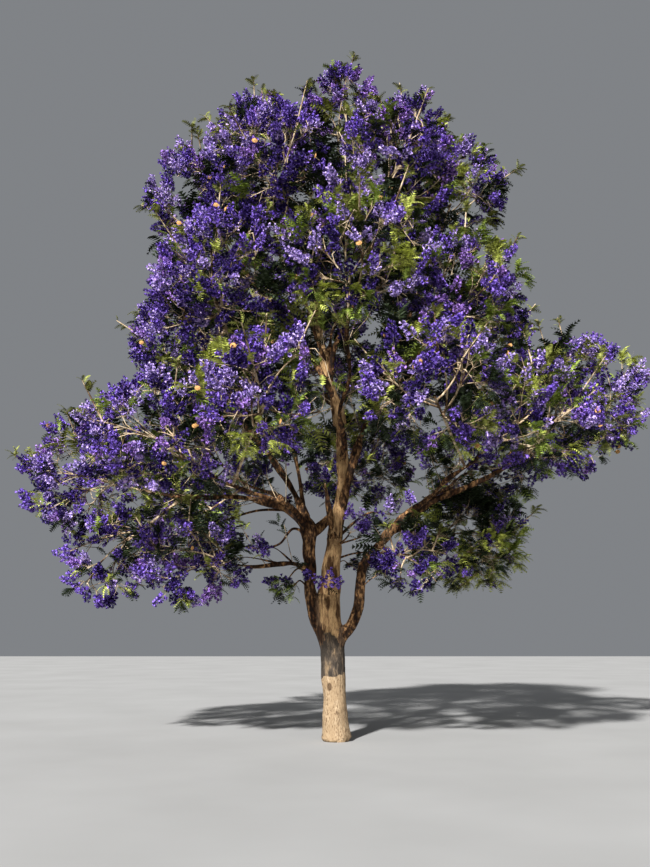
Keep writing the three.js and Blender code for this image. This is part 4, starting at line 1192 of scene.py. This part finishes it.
# Noise: its scale, its stretch along the axes and its detail
PATCHES, FLECKS = (5.5, (1, 1, 0.45), 5.0), (1, (80, 80, 26), 2.0)
WANDER, GRAIN, SWATHES = (5.5, (1, 1, 1.4), 6.0), (1, (62, 62, 15), 4.0), (1, (11, 11, 3.2), 5.0)
STREAK_DETAIL = 5.0
STAIN, STAIN_EDGE = (0.24, 0.19, 0.16), 0.07  # what darker patches leave of the colour, and how soft they end
FLECK, FLECKED = (0.4, 0.34, 0.3), 0.8  # what flecks leave of it, and how strongly they show
FLECK_STOPS = (0.32, 0.42)  # noise up to which a fleck is whole, and from which there is none
FURROW_BUMP, BUMP_STOPS = 0.008, (0.3, 0.6)  # its depth, and the noise at which it is lowest and highest
FOOT_PALE, FOOT_MIDDLE, FOOT_DARK = (0.44, 0.325, 0.205), (0.33, 0.228, 0.13), (0.12, 0.074, 0.04)
BAND_PALE, BAND_MIDDLE, BAND_DARK = (0.24, 0.165, 0.095), (0.1, 0.074, 0.052), (0.035, 0.027, 0.02)
FOOT_STOPS, BAND_STOPS = (0.36, 0.47, 0.6), (0.42, 0.52, 0.64)  # noise at which each is dark, middle, pale
# Where the foot has its middle colour and the band its dark one: from which noise to which, and from what
# strength to what
FOOT_CALM, BAND_GRAIN = (0.46, 0.6, 0.75, 0), (0.4, 0.52, 0.7, 0)
BAND_LOW, BAND_HIGH, BAND_EDGE = 1.26, 1.88, 0.03  # heights, with a share of its edges' wander added
BAND_WANDER = 0.55  # that share
SCAR, SCAR_SIZE = (-0.1, -0.22, 0.83), (0.045, 0.16, 0.075)  # where a low branch was cut
SCAR_EDGE = 0.75  # of its size, from which it fades
MOTTLE_STOPS = (0.43, 0.51, 0.55, 0.62)  # noise at which it is darker, plain, still plain and lighter
MOTTLE_LIFT, MOTTLE_BUMP = 0.05, 0.002  # what the lighter places, in part painted glints, have more of each part, and their height
BARKS = {
    "smooth_bark": dict(pale=(0.57, 0.36, 0.168), middle=(0.4, 0.237, 0.106), dark=(0.13, 0.066, 0.032),
                        banded=True),
    "rough_bark": dict(pale=(0.44, 0.24, 0.1), middle=(0.15, 0.075, 0.032), dark=(0.034, 0.017, 0.009),
                       stained=0.47, waves=BLOTCHES, stops=DARK_STOPS),
    "seam_bark": dict(pale=(0.22, 0.13, 0.07), middle=(0.1, 0.06, 0.035), dark=(0.035, 0.022, 0.015)),
    "twig_bark": dict(pale=(0.7, 0.56, 0.38), middle=(0.5, 0.36, 0.21), dark=(0.22, 0.14, 0.08)),
}
# Mottled materials: the noise's scale, what its darker and its lighter places have of the colour, and how
# rough they are. The darker places are partly the tint's own variation and partly painted shade, the lighter
# ones partly its variation and partly painted glints
PETAL = dict(scale=24, shade=0.22, tone_and_painted_glint=2.1, roughness=0.45)
LEAF = dict(scale=16, shade=0.42, tone_and_painted_glint=1.5, roughness=0.55)
POD = dict(scale=80, shade=0.6, tone_and_painted_glint=1.2, roughness=0.7)
# The deep tint goes mostly to sprays in the shade, as painted shade, and the pale one mostly to sprays in the
# sun, as painted sunlight
VIOLETS = {
    "petal_violet": (0.165, 0.09, 0.43),
    "petal_pale_painted_sunlight": (0.37, 0.27, 0.68),
    "petal_deep_painted_shade": (0.04, 0.018, 0.15),
    "petal_lilac": (0.27, 0.145, 0.47),
}
# The near-black tint is painted shade: most leaves in the shade get it, and a quarter of those in the sun,
# for dark gaps. The sunny tint goes mostly to leaves in the sun, as painted sunlight
GREENS = {
    "leaf_sunny": (0.42, 0.46, 0.09),
    "leaf_green": (0.19, 0.25, 0.038),
    "leaf_olive": (0.2, 0.215, 0.045),
    "leaf_dark_painted_shade": (0.014, 0.023, 0.007),
}
POD_BROWN = (0.62, 0.33, 0.12)


class Nodes:
    """Short forms for a material's nodes."""

    def __init__(self, name):
        self.material = bpy.data.materials.new(name)
        self.material.use_nodes = True
        self.tree = self.material.node_tree
        self.shader = self.tree.nodes["Principled BSDF"]

    def add(self, kind, values=(), **settings):
        node = self.tree.nodes.new(kind)
        for key, value in settings.items():
            setattr(node, key, value)
        for socket, value in dict(values).items():
            if isinstance(value, bpy.types.NodeSocket):
                self.tree.links.new(value, node.inputs[socket])
            else:
                node.inputs[socket].default_value = value
        return node

    def noise(self, scale, stretch=(1, 1, 1), detail=3.0):
        """Noise in the piece's own coordinates, which are the tree's."""
        place = self.add("ShaderNodeTexCoord").outputs["Object"]
        mapping = self.add("ShaderNodeMapping", {"Vector": place, "Scale": stretch})
        texture = self.add("ShaderNodeTexNoise",
                           {"Vector": mapping.outputs["Vector"], "Scale": scale, "Detail": detail})
        return texture.outputs["Fac"]

    def ramp(self, source, stops, colours):
        node = self.add("ShaderNodeValToRGB", {"Fac": source})
        elements = node.color_ramp.elements
        while len(elements) < len(stops):
            elements.new(0.5)
        for element, place, colour in zip(elements, stops, colours):
            element.position = place
            element.color = (*colour, 1)
        return node.outputs["Color"]

    def mask(self, source, low, high, first=0, last=1):
        """Grey from one value to another, between two values of the source."""
        return self.ramp(source, (low, high), ((first,) * 3, (last,) * 3))

    def blend(self, factor, first, second, kind="MIX"):
        first, second = (value if isinstance(value, bpy.types.NodeSocket) else (*value, 1)
                         for value in (first, second))
        values = {0: factor, 6: first, 7: second}
        return self.add("ShaderNodeMix", values, data_type="RGBA", blend_type=kind).outputs[2]

    def bump(self, height, distance, strength):
        node = self.add("ShaderNodeBump", {"Height": height, "Distance": distance, "Strength": strength})
        self.wear("Normal", node.outputs["Normal"])

    def scar(self, place):
        """White in the middle of the scar, black outside it."""
        away = self.add("ShaderNodeVectorMath", {0: place, 1: SCAR}, operation="SUBTRACT").outputs[0]
        away = self.add("ShaderNodeVectorMath", {0: away, 1: SCAR_SIZE}, operation="DIVIDE").outputs[0]
        away = self.add("ShaderNodeVectorMath", {0: away}, operation="LENGTH").outputs["Value"]
        return self.mask(away, SCAR_EDGE, 1, 1, 0)

    def bands(self, above):
        """The colours of a trunk up its height: creamy foot, dark band, and above it the colour given."""
        place = self.add("ShaderNodeTexCoord").outputs["Object"]
        height = self.add("ShaderNodeSeparateXYZ", {"Vector": place}).outputs["Z"]
        terms = {0: self.noise(*WANDER), 1: BAND_WANDER, 2: height}
        reach = self.add("ShaderNodeMath", terms, operation="MULTIPLY_ADD").outputs[0]
        grain = self.noise(*GRAIN)
        swathes = self.noise(*SWATHES)
        foot = self.ramp(grain, FOOT_STOPS, (FOOT_DARK, FOOT_MIDDLE, FOOT_PALE))
        foot = self.blend(self.mask(swathes, *FOOT_CALM), foot, FOOT_MIDDLE)
        foot = self.blend(self.scar(place), foot, FOOT_DARK)
        band = self.ramp(swathes, BAND_STOPS, (BAND_DARK, BAND_MIDDLE, BAND_PALE))
        band = self.blend(self.mask(grain, *BAND_GRAIN), band, BAND_DARK)
        colour = foot
        for low, edge, over in ((BAND_LOW, BAND_EDGE, band), (BAND_HIGH, 2 * BAND_EDGE, above)):
            share = self.add("ShaderNodeMapRange", {"Value": reach, 1: low, 2: low + edge}).outputs[0]
            colour = self.blend(share, colour, over)
        return colour

    def wear(self, socket, value):
        self.tree.links.new(value, self.shader.inputs[socket])

    def surface(self, roughness, specular):
        self.shader.inputs["Roughness"].default_value = roughness
        self.shader.inputs["Specular IOR Level"].default_value = specular


def bark_material(name, pale, middle, dark, stained=0.52, waves=STREAKS, stops=EVEN_STOPS, banded=False):
    """Bark in streaks along the limb, with fine furrows and darker patches where noise is over stained.
    A banded one is creamy at the foot of the trunk and dark below its forks."""
    nodes = Nodes(name)
    streaks = nodes.noise(1, waves, STREAK_DETAIL)
    patches = nodes.noise(*PATCHES)
    flecks = nodes.noise(*FLECKS)
    colour = nodes.ramp(streaks, stops, (dark, middle, pale))
    darker = nodes.blend(1.0, colour, STAIN, "MULTIPLY")
    colour = nodes.blend(nodes.mask(patches, stained, stained + STAIN_EDGE), colour, darker)
    if banded:
        colour = nodes.bands(colour)
    speck = nodes.ramp(flecks, FLECK_STOPS, (FLECK, WHITE))
    nodes.wear("Base Color", nodes.blend(FLECKED, colour, speck, "MULTIPLY"))
    height = nodes.blend(0.5, nodes.mask(streaks, *BUMP_STOPS), nodes.mask(flecks, *BUMP_STOPS))
    nodes.bump(height, FURROW_BUMP, strength=0.9)
    nodes.surface(roughness=0.85, specular=0.25)
    return nodes.material


def mottled_material(name, colour, scale, shade, tone_and_painted_glint, roughness):
    """A plain base colour with a fine mottle of its own shades, darker in part as painted shade and lighter
    in part as painted glints, and a slight relief.
    """
    nodes = Nodes(name)
    cells = nodes.noise(scale, detail=2.0)
    darker = tuple(shade * part for part in colour)
    # The lighter places are in part painted glints, the darker ones in part painted shade
    lighter = tuple(min(part * tone_and_painted_glint + MOTTLE_LIFT * (tone_and_painted_glint - 1), 1) for part in colour)
    nodes.wear("Base Color", nodes.ramp(cells, MOTTLE_STOPS, (darker, colour, colour, lighter)))
    nodes.bump(cells, MOTTLE_BUMP, strength=0.5)
    nodes.surface(roughness, specular=0.12)
    return nodes.material


# The tree

REGIONS = {"low": (0, 5.7), "middle": (5.7, 8.2), "high": (8.2, 13)}  # heights of the masses' middles


def region_of(name):
    height = MASSES[name][2][2]
    return next(region for region, (low, high) in REGIONS.items() if low <= height < high)


limbs = grow_limbs()
barks = {name: bark_material(name, **facts) for name, facts in BARKS.items()}
smooth_bark, rough_bark, seam_bark, twig_bark = barks.values()
fork = fork_mesh(fork_parts(limbs))
trunk_bark = add_piece("trunk_bark", fork, [smooth_bark, rough_bark, seam_bark])
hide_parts(*STEMS)
bough_bark = add_mesh("bough_bark", [smooth_bark, rough_bark], *bough_meshes(limbs), smooth=True)
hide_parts("leader", *BOUGHS)

petals = [mottled_material(name, colour, **PETAL) for name, colour in VIOLETS.items()]
greenery = [mottled_material(name, colour, **LEAF) for name, colour in GREENS.items()]
growths = {region: Growth() for region in REGIONS}
for index, name in enumerate(NAMES):
    grow_mass(index, limbs, growths[region_of(name)])
grow_shoots(limbs, {name: growths[region_of(name)] for name in NAMES})
grow_low_boughs(limbs, growths["low"])
for region, growth in growths.items():
    masses = [name for name in NAMES if region_of(name) == region]
    stalks = stalk_rows(*(np.concatenate(ends) for ends in zip(*growth.stalks)))
    twigs = joined([*(tube_rows(*row) for row in growth.tubes if len(row[0])), stalks])
    pieces = [
        add_mesh("twigs_" + region, [twig_bark], *twigs, smooth=True),
        add_mesh("blossom_" + region, petals, *blossom_mesh(growth.flowers)),
        add_mesh("leaves_" + region, greenery, *leaf_mesh(growth.leaves)),
    ]
    for piece in pieces:
        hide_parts(*masses)
capsule = mottled_material("capsule", POD_BROWN, **POD)
add_mesh("seed_capsules", [capsule], *capsule_mesh(growths.values()))

# Floor, light and camera

FLOOR_REACH = 60
FLOOR_NOISE, FLOOR_STOPS, FLOOR_ROUGHNESS = 0.4, (0.3, 0.7), 0.95
FLOOR_SHADES = ((0.33, 0.325, 0.315), (0.37, 0.365, 0.355))
SKY, SKY_STRENGTH = (0.9, 0.94, 1, 1), 0.24
KEY_TOWARDS, KEY_STRENGTH, KEY_ANGLE = (0.3, 0.78, -0.56), 7.8, 3
CAMERA_PLACE = (-0.17, -14.1, 1.6)
CAMERA_RISE = 13.57  # degrees
floor_mesh = bpy.data.meshes.new("floor")
floor_mesh.from_pydata([(x, y, 0) for x, y in itertools.product((-FLOOR_REACH, FLOOR_REACH), repeat=2)], [],
                       [(0, 2, 3, 1)])
floor = bpy.data.objects.new("floor", floor_mesh)
bpy.context.scene.collection.objects.link(floor)
pale = Nodes("floor")
pale.wear("Base Color", pale.ramp(pale.noise(FLOOR_NOISE), FLOOR_STOPS, FLOOR_SHADES))
pale.shader.inputs["Roughness"].default_value = FLOOR_ROUGHNESS
floor_mesh.materials.append(pale.material)

world = bpy.data.worlds.new("studio")
bpy.context.scene.world = world
world.use_nodes = True
world.node_tree.nodes["Background"].inputs["Color"].default_value = SKY
world.node_tree.nodes["Background"].inputs["Strength"].default_value = SKY_STRENGTH
light = bpy.data.lights.new("key", "SUN")
light.energy = KEY_STRENGTH
light.angle = math.radians(KEY_ANGLE)
key = bpy.data.objects.new("key", light)
key.rotation_euler = Vector(KEY_TOWARDS).to_track_quat("-Z", "Y").to_euler()
bpy.context.scene.collection.objects.link(key)

camera = bpy.data.objects.new("camera", bpy.data.cameras.new("camera"))
camera.data.lens = 35
camera.data.sensor_width = 36
camera.data.clip_end = 300
camera.location = CAMERA_PLACE
camera.rotation_euler = (math.radians(90 + CAMERA_RISE), 0, 0)
bpy.context.scene.collection.objects.link(camera)
bpy.context.scene.camera = camera
bpy.context.scene.view_settings.view_transform = "Standard"
